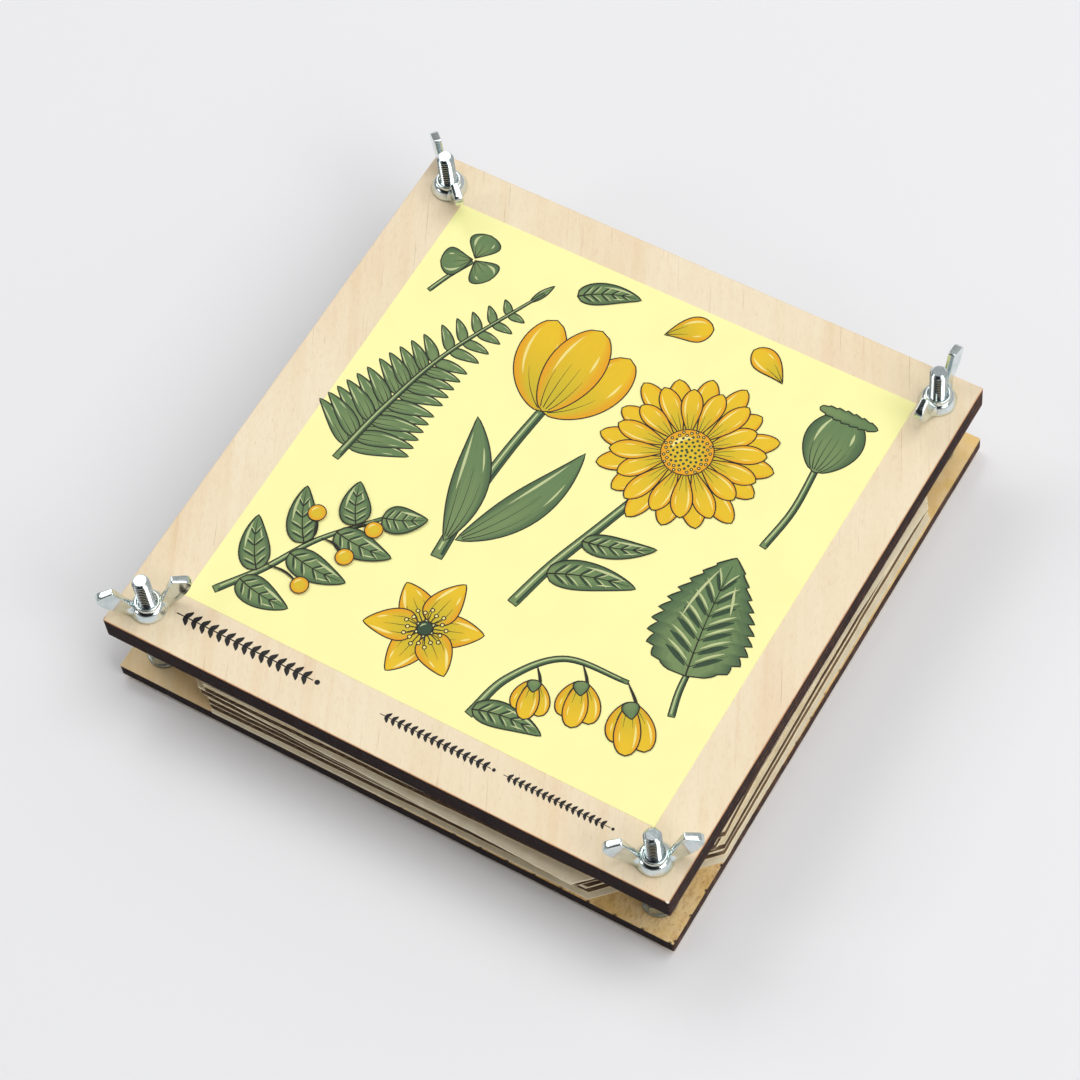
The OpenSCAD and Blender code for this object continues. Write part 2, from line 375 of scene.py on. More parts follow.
class EffectShelf:
    """Builds each shared effect once, as a node group, and places it in materials."""

    def __init__(self) -> None:
        """An empty shelf."""
        self.made: dict[Effect, bpy.types.NodeTree] = {}
        self.recipes = {
            Effect.GRAIN: self.wood_grain, Effect.SCORCH: self.edge_scorch, Effect.FIBRE: self.paper_fibre,
            Effect.PLATING: self.zinc_plating, Effect.INK: self.ink_film, Effect.CORNER_HIGHLIGHT: self.painted_corner_highlight,
        }

    def place(self, wiring: Wiring, effect: Effect, inputs: dict[object, object]) -> Sequence[Socket]:
        """Places an effect in a material.

        Args:
            wiring: The material's wiring.
            effect: The effect wanted.
            inputs: Value or socket for each of its inputs.

        Returns:
            The sockets that the effect puts out.
        """
        if effect not in self.made:
            self.made[effect] = self.recipes[effect]()
        made = wiring.node("ShaderNodeGroup", node_tree=self.made[effect])
        for key, value in inputs.items():
            wiring.feed(made.inputs[key], value)
        return made.outputs

    @staticmethod
    def open_group(
        effect: Effect, inputs: dict[str, object], outputs: dict[str, str]
    ) -> tuple[Wiring, dict, bpy.types.Node]:
        """Starts a node group with named sockets.

        Args:
            effect: The effect that the group makes.
            inputs: Default of each input: a number, a colour, or the word vector.
            outputs: Blender's socket type of each output.

        Returns:
            The wiring, the input sockets by name, and the output node.
        """
        tree = bpy.data.node_groups.new(effect.value, "ShaderNodeTree")
        for name, default in inputs.items():
            if default == "vector":
                tree.interface.new_socket(name, in_out="INPUT", socket_type="NodeSocketVector")
            elif isinstance(default, tuple):
                made = tree.interface.new_socket(name, in_out="INPUT", socket_type="NodeSocketColor")
                made.default_value = (*default, 1)
            else:
                made = tree.interface.new_socket(name, in_out="INPUT", socket_type="NodeSocketFloat")
                made.default_value = default
        for name, kind in outputs.items():
            tree.interface.new_socket(name, in_out="OUTPUT", socket_type=kind)
        wiring = Wiring(tree)
        given = wiring.node("NodeGroupInput").outputs
        return wiring, {name: given[name] for name in inputs}, wiring.node("NodeGroupOutput")

    def wood_grain(self) -> bpy.types.NodeTree:
        """Pale rotary-cut birch: soft patches, growth lines, rosy veins, mottling, short cracks and pores."""
        wiring, given, out = self.open_group(
            Effect.GRAIN,
            {"Vector": "vector", "Turn": 0.0, "Pale": srgb(240, 224, 196), "Tan": srgb(226, 192, 144),
             "Rose": srgb(232, 200, 170), "Contrast": 1.0},
            SKIN_OUTPUTS,
        )
        turned = wiring.node("ShaderNodeVectorRotate", {"Vector": given["Vector"], "Angle": given["Turn"]},
                             rotation_type="Z_AXIS").outputs[0]
        patches = wiring.noise(turned, (46, 15, 46), 3, 0.55)
        clouds = wiring.noise(turned, (24, 11, 31), 2, 0.5)
        streaks = wiring.noise(turned, (430, 17, 430), 4, 0.6)
        fine = wiring.noise(turned, (1700, 75, 1700), 2, 0.6)
        waves = {"Vector": wiring.stretch(turned, (20, 4.2, 20)), "Scale": 1.0, "Distortion": 5.5,
                 "Detail": 2.0, "Detail Scale": 0.7}
        bent = wiring.node("ShaderNodeTexWave", waves, wave_type="BANDS", bands_direction="X").outputs["Fac"]
        lines = wiring.step(bent, 0.78, 1.0)
        amount = wiring.times(wiring.step(patches, 0.36, 0.72), 0.5)
        amount = wiring.plus(amount, wiring.times(wiring.step(streaks, 0.4, 0.75), 0.22))
        amount = wiring.plus(amount, wiring.times(lines, wiring.step(clouds, 0.42, 0.6, 0, 0.42)))
        amount = wiring.plus(amount, wiring.times(wiring.step(fine, 0.55, 0.8), 0.14))
        amount = wiring.times(amount, given["Contrast"], clamp=True)
        colour = wiring.mix(amount, given["Pale"], given["Tan"])
        rosy = wiring.times(wiring.step(clouds, 0.5, 0.68), 0.5)
        colour = wiring.mix(rosy, colour, given["Rose"])
        veins = wiring.noise(turned, (430, 11, 430), 4, 0.7)
        colour = wiring.mix(wiring.step(veins, 0.58, 0.74, 0, 0.26), colour, srgb(216, 174, 134))
        mottle = wiring.noise(turned, (1300, 420, 1300), 3, 0.65)
        colour = wiring.mix(wiring.step(mottle, 0.46, 0.72, 0, 0.17), colour, srgb(212, 174, 134))
        cracks = wiring.noise(turned, (1700, 26, 1700), 2, 0.55)
        colour = wiring.mix(wiring.step(cracks, 0.68, 0.74, 0, 0.3), colour, srgb(158, 112, 74))
        pores = wiring.noise(turned, (2300, 260, 2300), 1, 0.5)
        colour = wiring.mix(wiring.step(pores, 0.7, 0.78, 0, 0.22), colour, srgb(176, 138, 92))
        wiring.feed(out.inputs["Color"], colour)
        wiring.feed(out.inputs["Roughness"], wiring.step(streaks, 0.3, 0.7, 0.52, 0.66))
        height = wiring.plus(wiring.times(streaks, 0.5), wiring.times(fine, 0.5))
        wiring.feed(out.inputs["Height"], wiring.minus(height, wiring.step(pores, 0.7, 0.78, 0, 0.4)))
        return wiring.tree

    def edge_scorch(self) -> bpy.types.NodeTree:
        """Distance from a square board's edge, as a mask that is 1 at the edge and wanders inwards."""
        wiring, given, out = self.open_group(
            Effect.SCORCH,
            {"Vector": "vector", "Half Width": 0.1, "Reach": 0.0005, "Wander": 0.5},
            MASK_OUTPUTS,
        )
        x, y = wiring.parts(given["Vector"])[:2]
        furthest = wiring.calc("MAXIMUM", wiring.calc("ABSOLUTE", x), wiring.calc("ABSOLUTE", y))
        inward = wiring.minus(given["Half Width"], furthest)
        uneven = wiring.noise(given["Vector"], (260, 260, 260), 4, 0.65)
        swing = wiring.times(wiring.minus(uneven, 0.5), given["Wander"])
        reach = wiring.times(given["Reach"], wiring.plus(swing, 1.0))
        share = wiring.over(inward, reach)
        wiring.feed(out.inputs["Mask"], wiring.step(share, 0.0, 1.0, 1.0, 0.0))
        return wiring.tree

    def paper_fibre(self) -> bpy.types.NodeTree:
        """Uncoated paper: cloudy pulp, short fibres and a few specks."""
        wiring, given, out = self.open_group(
            Effect.FIBRE,
            {"Vector": "vector", "Sheet": srgb(236, 222, 196), "Shade": srgb(206, 186, 152), "Specks": 0.3},
            SKIN_OUTPUTS,
        )
        pulp = wiring.noise(given["Vector"], (170, 170, 900), 4, 0.6)
        fibres = wiring.noise(given["Vector"], (900, 2600, 2600), 3, 0.65)
        specks = wiring.noise(given["Vector"], (1500, 1500, 1500), 1, 0.5)
        amount = wiring.plus(wiring.step(pulp, 0.35, 0.75, 0, 0.5), wiring.step(fibres, 0.42, 0.75, 0, 0.35))
        colour = wiring.mix(amount, given["Sheet"], given["Shade"])
        dark = wiring.times(wiring.step(specks, 0.72, 0.8), given["Specks"])
        wiring.feed(out.inputs["Color"], wiring.mix(dark, colour, srgb(120, 96, 66)))
        wiring.feed(out.inputs["Roughness"], wiring.step(fibres, 0.3, 0.7, 0.78, 0.92))
        wiring.feed(out.inputs["Height"], fibres)
        return wiring.tree

    def zinc_plating(self) -> bpy.types.NodeTree:
        """Bright zinc plate: slow blue-green and straw tints over a faintly brushed skin."""
        wiring, given, out = self.open_group(
            Effect.PLATING,
            {"Vector": "vector", "Bright": srgb(232, 238, 238), "Cool": srgb(196, 214, 212), "Dull": 0.3},
            SKIN_OUTPUTS,
        )
        tint = wiring.noise(given["Vector"], (210, 210, 170), 3, 0.6)
        skin = wiring.noise(given["Vector"], (1900, 1900, 1500), 3, 0.6)
        straw = wiring.noise(given["Vector"], (90, 130, 110), 2, 0.5)
        colour = wiring.mix(wiring.step(tint, 0.4, 0.7), given["Bright"], given["Cool"])
        colour = wiring.mix(wiring.step(straw, 0.55, 0.75, 0, 0.3), colour, srgb(222, 214, 190))
        wiring.feed(out.inputs["Color"], colour)
        uneven = wiring.times(wiring.step(skin, 0.35, 0.75), 0.06)
        wiring.feed(out.inputs["Roughness"], wiring.plus(given["Dull"], uneven))
        wiring.feed(out.inputs["Height"], skin)
        return wiring.tree

    def ink_film(self) -> bpy.types.NodeTree:
        """Matt ink on wood: slight unevenness, with the grain below just telling."""
        wiring, given, out = self.open_group(
            Effect.INK,
            {"Vector": "vector", "Ink": srgb(255, 250, 178), "Depth": 0.1},
            SKIN_OUTPUTS,
        )
        cloud = wiring.noise(given["Vector"], (60, 60, 60), 3, 0.6)
        dots = wiring.noise(given["Vector"], (2400, 2400, 2400), 1, 0.5)
        grain = wiring.noise(given["Vector"], (900, 320, 900), 3, 0.6)
        wear = wiring.plus(wiring.step(cloud, 0.35, 0.75, 0, 0.6), wiring.step(dots, 0.5, 0.8, 0, 0.4))
        wear = wiring.times(wear, given["Depth"])
        darker = wiring.mix(1.0, given["Ink"], srgb(226, 218, 200), "MULTIPLY")
        wiring.feed(out.inputs["Color"], wiring.mix(wear, given["Ink"], darker))
        wiring.feed(out.inputs["Roughness"], wiring.step(grain, 0.3, 0.7, 0.46, 0.56))
        wiring.feed(out.inputs["Height"], grain)
        return wiring.tree

    def painted_corner_highlight(self) -> bpy.types.NodeTree:
        """A ragged near-white spot round one place: a painted highlight on a corner, shaped as if wood had
        come away there.
        """
        wiring, given, out = self.open_group(
            Effect.CORNER_HIGHLIGHT,
            {"Vector": "vector", "Place": "vector", "Reach": 0.001},
            MASK_OUTPUTS,
        )
        ends = {0: given["Vector"], 1: given["Place"]}
        away = wiring.node("ShaderNodeVectorMath", ends, operation="DISTANCE")
        ragged = wiring.noise(given["Vector"], (1600, 1600, 1600), 2, 0.6)
        reach = wiring.times(given["Reach"], wiring.plus(ragged, 0.5))
        share = wiring.over(away.outputs["Value"], reach)
        wiring.feed(out.inputs["Mask"], wiring.step(share, 0.7, 1.0, 1.0, 0.0))
        return wiring.tree


def open_material(name: str) -> tuple[bpy.types.Material, Wiring, bpy.types.Node, Socket]:
    """Starts a material on the piece's own coordinates.

    Args:
        name: Name of the material.

    Returns:
        The material, its wiring, its shader and the socket of the coordinates, in metres.
    """
    material = bpy.data.materials.new(name)
    material.use_nodes = True
    material.node_tree.nodes.clear()
    wiring = Wiring(material.node_tree)
    shader = wiring.node("ShaderNodeBsdfPrincipled")
    wiring.node("ShaderNodeOutputMaterial", {"Surface": shader.outputs[0]})
    place = wiring.node("ShaderNodeTexCoord").outputs["Object"]
    return material, wiring, shader, place


@dataclass(frozen=True)
class Skin:
    """What every shader of the press ends with: its relief and how much it shines."""

    depth: float
    strength: float
    specular: float | None = None

    def put_on(
        self, wiring: Wiring, shader: bpy.types.Node, colour: object, roughness: object, height: object
    ) -> None:
        """Feeds a shader.

        Args:
            wiring: The material's wiring.
            shader: The shader.
            colour: Socket of its colour.
            roughness: Socket of its roughness.
            height: Socket of the relief's height, from 0 to 1.
        """
        wiring.feed(shader.inputs["Base Color"], colour)
        wiring.feed(shader.inputs["Roughness"], roughness)
        if self.specular is not None:
            shader.inputs["Specular IOR Level"].default_value = self.specular
        relief = {"Height": height, "Distance": self.depth * MM, "Strength": self.strength}
        wiring.feed(shader.inputs["Normal"], wiring.node("ShaderNodeBump", relief).outputs[0])


WOOD_SKIN = Skin(0.05, 0.5, 0.32)
CHAR_SKIN = Skin(0.12, 0.7, 0.12)
PAPER_SKIN = Skin(0.04, 0.6, 0.2)
INK_SKIN = Skin(0.03, 0.4, 0.3)


@dataclass(frozen=True)
class PlywoodFace:
    """The flat faces of a laser-cut board, with a toasted rim."""

    name: str
    pale: Colour
    tan: Colour
    rose: Colour
    half_width: float
    smoke: float = 0.0
    tick_pitch: float = 9.4
    ticks: float = 0.0
    turn_degrees: float = 27.0
    contrast: float = 1.0
    toast: float = 0.9
    highlight_spot: tuple[float, float, float] | None = None

    def build(self, shelf: EffectShelf) -> bpy.types.Material:
        """Builds the material.

        Args:
            shelf: The shared effects.

        Returns:
            The material.
        """
        material, wiring, shader, place = open_material(self.name)
        wood = shelf.place(wiring, Effect.GRAIN, {
            "Vector": place, "Turn": -math.radians(self.turn_degrees), "Pale": self.pale, "Tan": self.tan,
            "Rose": self.rose, "Contrast": self.contrast})
        colour = wood["Color"]
        if self.smoke:
            colour = self.add_smoke(wiring, shelf, place, colour)
        toast = shelf.place(wiring, Effect.SCORCH, {
            "Vector": place, "Half Width": self.half_width * MM, "Reach": 0.55 * MM, "Wander": 1.2})["Mask"]
        x, y = wiring.parts(place)[:2]
        front_right = wiring.calc("MAXIMUM", x, wiring.times(y, -1.0))
        rim = (self.half_width - 2) * MM
        strength = wiring.step(front_right, rim, rim + MM, 0.15 * self.toast, self.toast)
        colour = wiring.mix(wiring.times(toast, strength), colour, srgb(192, 120, 56))
        if self.ticks:
            colour = self.add_ticks(wiring, place, colour)
        # Painted highlight: a near-white spot on the front right corner of the top face
        if self.highlight_spot:
            spot = shelf.place(wiring, Effect.CORNER_HIGHLIGHT, {"Vector": place, "Place": self.highlight_spot, "Reach": 0.6 * MM})
            colour = wiring.mix(spot["Mask"], colour, srgb(252, 244, 228))
        WOOD_SKIN.put_on(wiring, shader, colour, wood["Roughness"], wood["Height"])
        return material

    def add_smoke(
        self, wiring: Wiring, shelf: EffectShelf, place: Socket, colour: Socket
    ) -> Socket:
        """Brown smoke of the laser, in clouds and fine streaks, stronger towards the edges."""
        near = shelf.place(wiring, Effect.SCORCH, {
            "Vector": place, "Half Width": self.half_width * MM, "Reach": 30 * MM, "Wander": 1.4})["Mask"]
        x = wiring.parts(place)[0]
        drift = wiring.step(x, -0.6 * self.half_width * MM, 0.5 * self.half_width * MM, 0.25, 1.0)
        near = wiring.times(near, self.smoke)
        hazy = wiring.times(near, drift)
        corner = wiring.times(near, self.corner_share(wiring, place))
        clouds = wiring.noise(place, (120, 120, 120), 4, 0.62)
        blots = wiring.noise(place, (440, 250, 400), 4, 0.7)
        specks = wiring.noise(place, (1500, 800, 900), 3, 0.65)
        haze = wiring.times(wiring.step(clouds, 0.3, 0.75, 0.4, 1.0), hazy)
        colour = wiring.mix(haze, colour, srgb(230, 193, 118))
        stain = wiring.times(wiring.step(blots, 0.46, 0.68), wiring.times(corner, 0.55))
        colour = wiring.mix(stain, colour, srgb(186, 138, 70))
        dots = wiring.times(wiring.step(specks, 0.52, 0.72), wiring.times(corner, 0.48))
        return wiring.mix(dots, colour, srgb(142, 94, 58))

    def corner_share(self, wiring: Wiring, place: Socket) -> Socket:
        """How near a place lies to the front right corner, from 0 to 1."""
        x, y = wiring.parts(place)[:2]
        toward = wiring.minus(x, y)
        return wiring.step(toward, 0.5 * self.half_width * MM, 1.5 * self.half_width * MM, 0.06, 1.0)

    def add_ticks(self, wiring: Wiring, place: Socket, colour: Socket) -> Socket:
        """Small burns at even steps along the edges, where the laser slowed."""
        x, y = wiring.parts(place)[:2]
        marks = []
        for run, side in ((y, x), (x, y)):
            phase = wiring.calc("FRACT", wiring.over(run, self.tick_pitch * MM))
            off = wiring.calc("ABSOLUTE", wiring.minus(phase, 0.5))
            inward = wiring.minus(self.half_width * MM, wiring.calc("ABSOLUTE", side))
            wide = wiring.times(off, self.tick_pitch * MM)
            far = wiring.calc("SQRT", wiring.plus(wiring.times(wide, wide),
                                                  wiring.times(inward, inward)))
            marks.append(wiring.step(far, 0.35 * MM, 0.8 * MM, 1.0, 0.0))
        ragged = wiring.step(wiring.noise(place, (1400, 1400, 1400), 2), 0.3, 0.5, 0.4, 1.0)
        strength = wiring.times(self.corner_share(wiring, place), ragged)
        mark = wiring.times(wiring.calc("MAXIMUM", marks[0], marks[1]), strength)
        return wiring.mix(wiring.times(mark, self.ticks), colour, srgb(58, 36, 26))


@dataclass(frozen=True)
class BurntEdge:
    """The laser-cut sides of a board: charred plies with thin paler glue lines, and paler ember on the
    right-hand side as painted light.
    """

    name: str
    ply: float
    half_width: float
    char: Colour = srgb(38, 27, 29)
    ember: Colour = srgb(122, 88, 72)
    highlight_spot: tuple[float, float, float] | None = None

    def build(self, shelf: EffectShelf) -> bpy.types.Material:
        """Builds the material.

        Args:
            shelf: The shared effects.

        Returns:
            The material.
        """
        material, wiring, shader, place = open_material(self.name)
        height = wiring.parts(place)[2]
        layer = wiring.calc("FRACT", wiring.over(height, 2 * self.ply * MM))
        band = wiring.step(wiring.calc("ABSOLUTE", wiring.minus(layer, 0.5)), 0.18, 0.32)
        scars = wiring.noise(place, (1500, 1500, 110), 3, 0.6)
        soot = wiring.noise(place, (130, 130, 420), 3, 0.6)
        grain = shelf.place(wiring, Effect.GRAIN, {
            "Vector": place, "Turn": 0.0, "Pale": self.ember, "Tan": self.char, "Rose": self.ember,
            "Contrast": 1.3})
        share = wiring.plus(wiring.times(band, 0.22), wiring.step(scars, 0.4, 0.75, 0, 0.34))
        share = wiring.times(share, wiring.step(soot, 0.35, 0.65, 0.45, 1.0))
        x = wiring.parts(place)[0]
        # Painted light: the paler ember's share rises on the right-hand side (positive X), so that side reads
        # as lit from the right
        right_side_painted_light = wiring.step(x, (self.half_width - 0.7) * MM, (self.half_width - 0.2) * MM, 0.3, 2.6)
        share = wiring.times(share, right_side_painted_light, clamp=True)
        colour = wiring.mix(share, self.char, grain["Color"])
        # Painted highlight: the same near-white spot on the corner's side
        if self.highlight_spot:
            spot = shelf.place(wiring, Effect.CORNER_HIGHLIGHT, {"Vector": place, "Place": self.highlight_spot, "Reach": 0.6 * MM})
            colour = wiring.mix(spot["Mask"], colour, srgb(252, 244, 228))
        relief = wiring.plus(wiring.times(scars, 0.6), wiring.times(band, 0.4))
        CHAR_SKIN.put_on(wiring, shader, colour, wiring.step(scars, 0.3, 0.7, 0.72, 0.9), relief)
        return material


@dataclass(frozen=True)
class ZincPlate:
    """Bright zinc plate on steel."""

    name: str
    bright: Colour
    cool: Colour
    dull: float
    relief: float = 0.01

    def build(self, shelf: EffectShelf) -> bpy.types.Material:
        """Builds the material.

        Args:
            shelf: The shared effects.

        Returns:
            The material.
        """
        material, wiring, shader, place = open_material(self.name)
        skin = shelf.place(wiring, Effect.PLATING, {
            "Vector": place, "Bright": self.bright, "Cool": self.cool, "Dull": self.dull})
        shader.inputs["Metallic"].default_value = 1.0
        Skin(self.relief, 0.6).put_on(wiring, shader, skin["Color"], skin["Roughness"], skin["Height"])
        return material


@dataclass(frozen=True)
class PaperStock:
    """Uncoated paper or board."""

    name: str
    sheet: Colour
    shade: Colour
    specks: float

    def build(self, shelf: EffectShelf) -> bpy.types.Material:
        """Builds the material.

        Args:
            shelf: The shared effects.

        Returns:
            The material.
        """
        material, wiring, shader, place = open_material(self.name)
        pulp = shelf.place(wiring, Effect.FIBRE, {
            "Vector": place, "Sheet": self.sheet, "Shade": self.shade, "Specks": self.specks})
        PAPER_SKIN.put_on(wiring, shader, pulp["Color"], pulp["Roughness"], pulp["Height"])
        return material


class Ink(Enum):
    """The inks of the print, in the order of a figure's material slots."""

    PETAL = 0
    LEAF = 1
    LINE = 2
    GLINT = 3
    SEED = 4
    GLOW = 5


@dataclass(frozen=True)
class ShapeInk:
    """Ink that is shaded by its place along and across a drawn shape."""

    name: str
    heart: Colour
    tip: Colour
    rim: Colour
    rim_from: float
    rim_share: float = 0.9
    streaks: float = 0.25

    def build(self, shelf: EffectShelf) -> bpy.types.Material:
        """Builds the material.

        Args:
            shelf: The shared effects.

        Returns:
            The material.
        """
        material, wiring, shader, place = open_material(self.name)
        along = wiring.node("ShaderNodeAttribute", attribute_name="along").outputs["Fac"]
        across = wiring.node("ShaderNodeAttribute", attribute_name="across").outputs["Fac"]
        across = wiring.calc("ABSOLUTE", across)
        colour = wiring.mix(wiring.step(along, 0.15, 0.85), self.heart, self.tip)
        edge = wiring.times(wiring.step(across, self.rim_from, 1.0), self.rim_share)
        colour = wiring.mix(edge, colour, self.rim)
        side = wiring.node("ShaderNodeCombineXYZ", {0: wiring.times(across, 9.0),
                                                    1: wiring.times(along, 1.4)}).outputs[0]
        strands = wiring.step(wiring.noise(side, (1, 1, 1), 2, 0.6), 0.45, 0.7, 0, self.streaks)
        colour = wiring.mix(strands, colour, self.rim)
        film = shelf.place(wiring, Effect.INK, {"Vector": place, "Ink": colour, "Depth": 0.25})
        INK_SKIN.put_on(wiring, shader, film["Color"], film["Roughness"], film["Height"])
        return material


@dataclass(frozen=True)
class PlainInk:
    """Ink of one colour, uneven only as a print is."""

    name: str
    colour: Colour
    depth: float = 0.15

    def build(self, shelf: EffectShelf) -> bpy.types.Material:
        """Builds the material.

        Args:
            shelf: The shared effects.

        Returns:
            The material.
        """
        material, wiring, shader, place = open_material(self.name)
        film = shelf.place(wiring, Effect.INK, {"Vector": place, "Ink": self.colour, "Depth": self.depth})
        INK_SKIN.put_on(wiring, shader, film["Color"], film["Roughness"], film["Height"])
        return material


class Finishes:
    """Every material of the press, built once."""

    def __init__(self, shelf: EffectShelf, board_half: float, board_top: float) -> None:
        """Args:
            shelf: The shared effects.
            board_half: Half the side of the boards, in millimetres.
            board_top: Height of the pressing board's upper face, in millimetres.
        """
        # Where the near-white painted highlight sits: the pressing board's front right top corner
        corner_highlight_place = ((board_half - 0.5) * MM, (0.1 - board_half) * MM, board_top * MM)
        self.pressing_face = PlywoodFace(
            "birch_pressing_board", srgb(243, 228, 198), srgb(232, 207, 166), srgb(238, 215, 184), board_half,
            contrast=0.8, highlight_spot=corner_highlight_place,
        ).build(shelf)
        self.base_face = PlywoodFace(
            "birch_base_board", srgb(246, 227, 190), srgb(230, 198, 144), srgb(238, 212, 170), board_half,
            smoke=1.0, ticks=1.0, toast=0.15,
        ).build(shelf)
        self.pressing_edge = BurntEdge(
            "burnt_edge_pressing_board", 1.3, board_half, highlight_spot=corner_highlight_place).build(shelf)
        self.base_edge = BurntEdge(
            "burnt_edge_base_board", 1.0, board_half, srgb(34, 26, 29)).build(shelf)
        self.nut = ZincPlate(
            "zinc_wing_nut", srgb(226, 234, 234), srgb(196, 210, 208), 0.12, 0.003).build(shelf)
        self.bolt = ZincPlate(
            "zinc_bolt", srgb(222, 230, 232), srgb(192, 206, 208), 0.14, 0.002).build(shelf)
        # Painted shade: washers and lock nuts are the bolts' bright zinc with a darker colour, standing for
        # the shade between the boards
        self.washer = ZincPlate(
            "zinc_washer_painted_shade", srgb(178, 186, 186), srgb(140, 152, 150), 0.32).build(shelf)
        self.liner = PaperStock(
            "card_liner", srgb(244, 231, 200), srgb(220, 201, 162), 0.3).build(shelf)
        # Kraft brown of the fluting and of the liners' inner faces, made darker still as painted shade in the
        # hollows between the liners
        self.fluting = PaperStock(
            "card_fluting_kraft_painted_shade", srgb(132, 108, 84), srgb(96, 78, 60), 0.5).build(shelf)
        self.blotting = PaperStock(
            "blotting_paper", srgb(247, 238, 212), srgb(228, 211, 174), 0.1).build(shelf)
        self.ground = PlainInk("ink_ground", srgb(255, 251, 175), 0.12).build(shelf)
        self.border = PlainInk("ink_border", srgb(30, 27, 26), 0.3).build(shelf)
        self.figure_inks = [
            ShapeInk(
                "ink_petal", srgb(208, 186, 36), srgb(236, 196, 30), srgb(236, 162, 18), 0.45).build(shelf),
            ShapeInk(
                "ink_leaf", srgb(120, 144, 92), srgb(104, 132, 84), srgb(64, 92, 62), 0.5, 0.8, 0.35,
            ).build(shelf),
            PlainInk("ink_line", srgb(36, 34, 22), 0.2).build(shelf),
            PlainInk("ink_glint", srgb(196, 206, 150), 0.3).build(shelf),
            PlainInk("ink_seed", srgb(48, 74, 50), 0.3).build(shelf),
            PlainInk("ink_glow", srgb(248, 230, 140), 0.3).build(shelf),
        ]


def finish_piece(piece: bpy.types.Object, body: str, slot: str, *nodes: str) -> bpy.types.Object:
    """Puts a finished piece on its body and reports it.

    Args:
        piece: The piece, in place.
        body: The body that it moves with.
        slot: The record's material slot; not used.
        *nodes: The nodes of the frame that it stands for.

    Returns:
        The piece.
    """
    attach(piece, body)
    if nodes:
        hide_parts(*nodes)
    LOG.info("%s: %d faces, on %s", piece.name, len(piece.data.polygons), body)
    return piece


@dataclass
class Board:
    """A laser-cut square plywood board with a bore at each corner."""

    node: str
    body: str
    face: bpy.types.Material
    edge: bpy.types.Material
    axes: list[tuple[float, float]]
    bore_r: float = 3.3
    corner_r: float = 0.5
    chamfer: float = 0.1
    step: float = 1.25
    seed: int = 1
    edge_wander: float = 0.04
    wander_shift: float = 500.0
    seat_r: float = 0.0
    seat_depth: float = 0.0

    def outline(self, inset: float) -> np.ndarray:
        """The board's outline, anticlockwise from above.

        Args:
            inset: Distance inwards from the cut edge.

        Returns:
            X and Y of each point.
        """
        half = self.half - self.corner_r
        count = int(2 * half / self.step)
        run = np.linspace(-half, half, count, endpoint=False)
        arc = np.linspace(0, math.pi / 2, 9)[:-1]
        wander = Wobble(self.seed, self.edge_wander, (37, 11, 4.3))
        points = []
        for quarter in range(4):
            front = np.full(count, -self.half + inset) + wander.at(run + quarter * self.wander_shift)
            straight = np.stack([run, front], -1)
            bend = self.corner_r - inset
            round_part = np.stack([half + bend * np.sin(arc), -half - bend * np.cos(arc)], -1)
            turn = quarter * math.pi / 2
            spin = np.array([[math.cos(turn), math.sin(turn)], [-math.sin(turn), math.cos(turn)]])
            points.append(np.concatenate([straight, round_part]) @ spin)
        return np.concatenate(points)

    def build(self) -> bpy.types.Object:
        """Builds the board.

        Returns:
            The piece.
        """
        low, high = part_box(self.node)
        self.half = (high.x - low.x) / 2 / MM
        self.low, self.high = low.z / MM, high.z / MM
        draft = MeshDraft()
        levels = [(self.chamfer, self.low), (0.0, self.low + self.chamfer), (0.0, self.high - self.chamfer),
                  (self.chamfer, self.high)]
        side = np.stack([np.column_stack([self.outline(inset), np.full(len(self.outline(inset)), z)])
                         for inset, z in levels], 1)
        draft.add_grid(side[:, :3], slot=1, wrap_rows=True)
        draft.add_grid(side[:, 2:], slot=0, wrap_rows=True)
        for x, y in self.axes:
            seat = self.low + self.seat_depth
            bore = [(self.bore_r + self.chamfer, self.high), (self.bore_r, self.high - self.chamfer)]
            if self.seat_depth:
                bore += [(self.bore_r, seat), (self.seat_r, seat), (self.seat_r, self.low)]
            else:
                bore += [(self.bore_r, self.low + self.chamfer), (self.bore_r + self.chamfer, self.low)]
            draft.add_grid(lathe(bore, 48) + np.array([x, y, 0]), slot=1, wrap_rows=True)
        return finish_piece(self.close(draft), self.body, self.node, self.node)

    def close(self, draft: MeshDraft) -> bpy.types.Object:
        """Fills the two flat faces between the outline and the bores.

        Args:
            draft: The walls.

        Returns:
            The object.
        """
        made = draft.build(f"plywood_{self.node}", [self.face, self.edge], 40)
        work = bmesh.new()
        work.from_mesh(made.data)
        for level, up in ((self.low, -1), (self.high, 1)):
            rim = [e for e in work.edges
                   if len(e.link_faces) == 1 and all(abs(v.co.z / MM - level) < 0.001 for v in e.verts)]
            filled = bmesh.ops.triangle_fill(work, use_beauty=True, edges=rim, normal=(0, 0, up))
            for face in filled["geom"]:
                if isinstance(face, bmesh.types.BMFace):
                    face.material_index = 0
                    face.normal_update()
                    if face.normal.z * up < 0:
                        face.normal_flip()
        work.to_mesh(made.data)
        work.free()
        made.data.shade_smooth()
        made.data.set_sharp_from_angle(angle=math.radians(25))
        return made


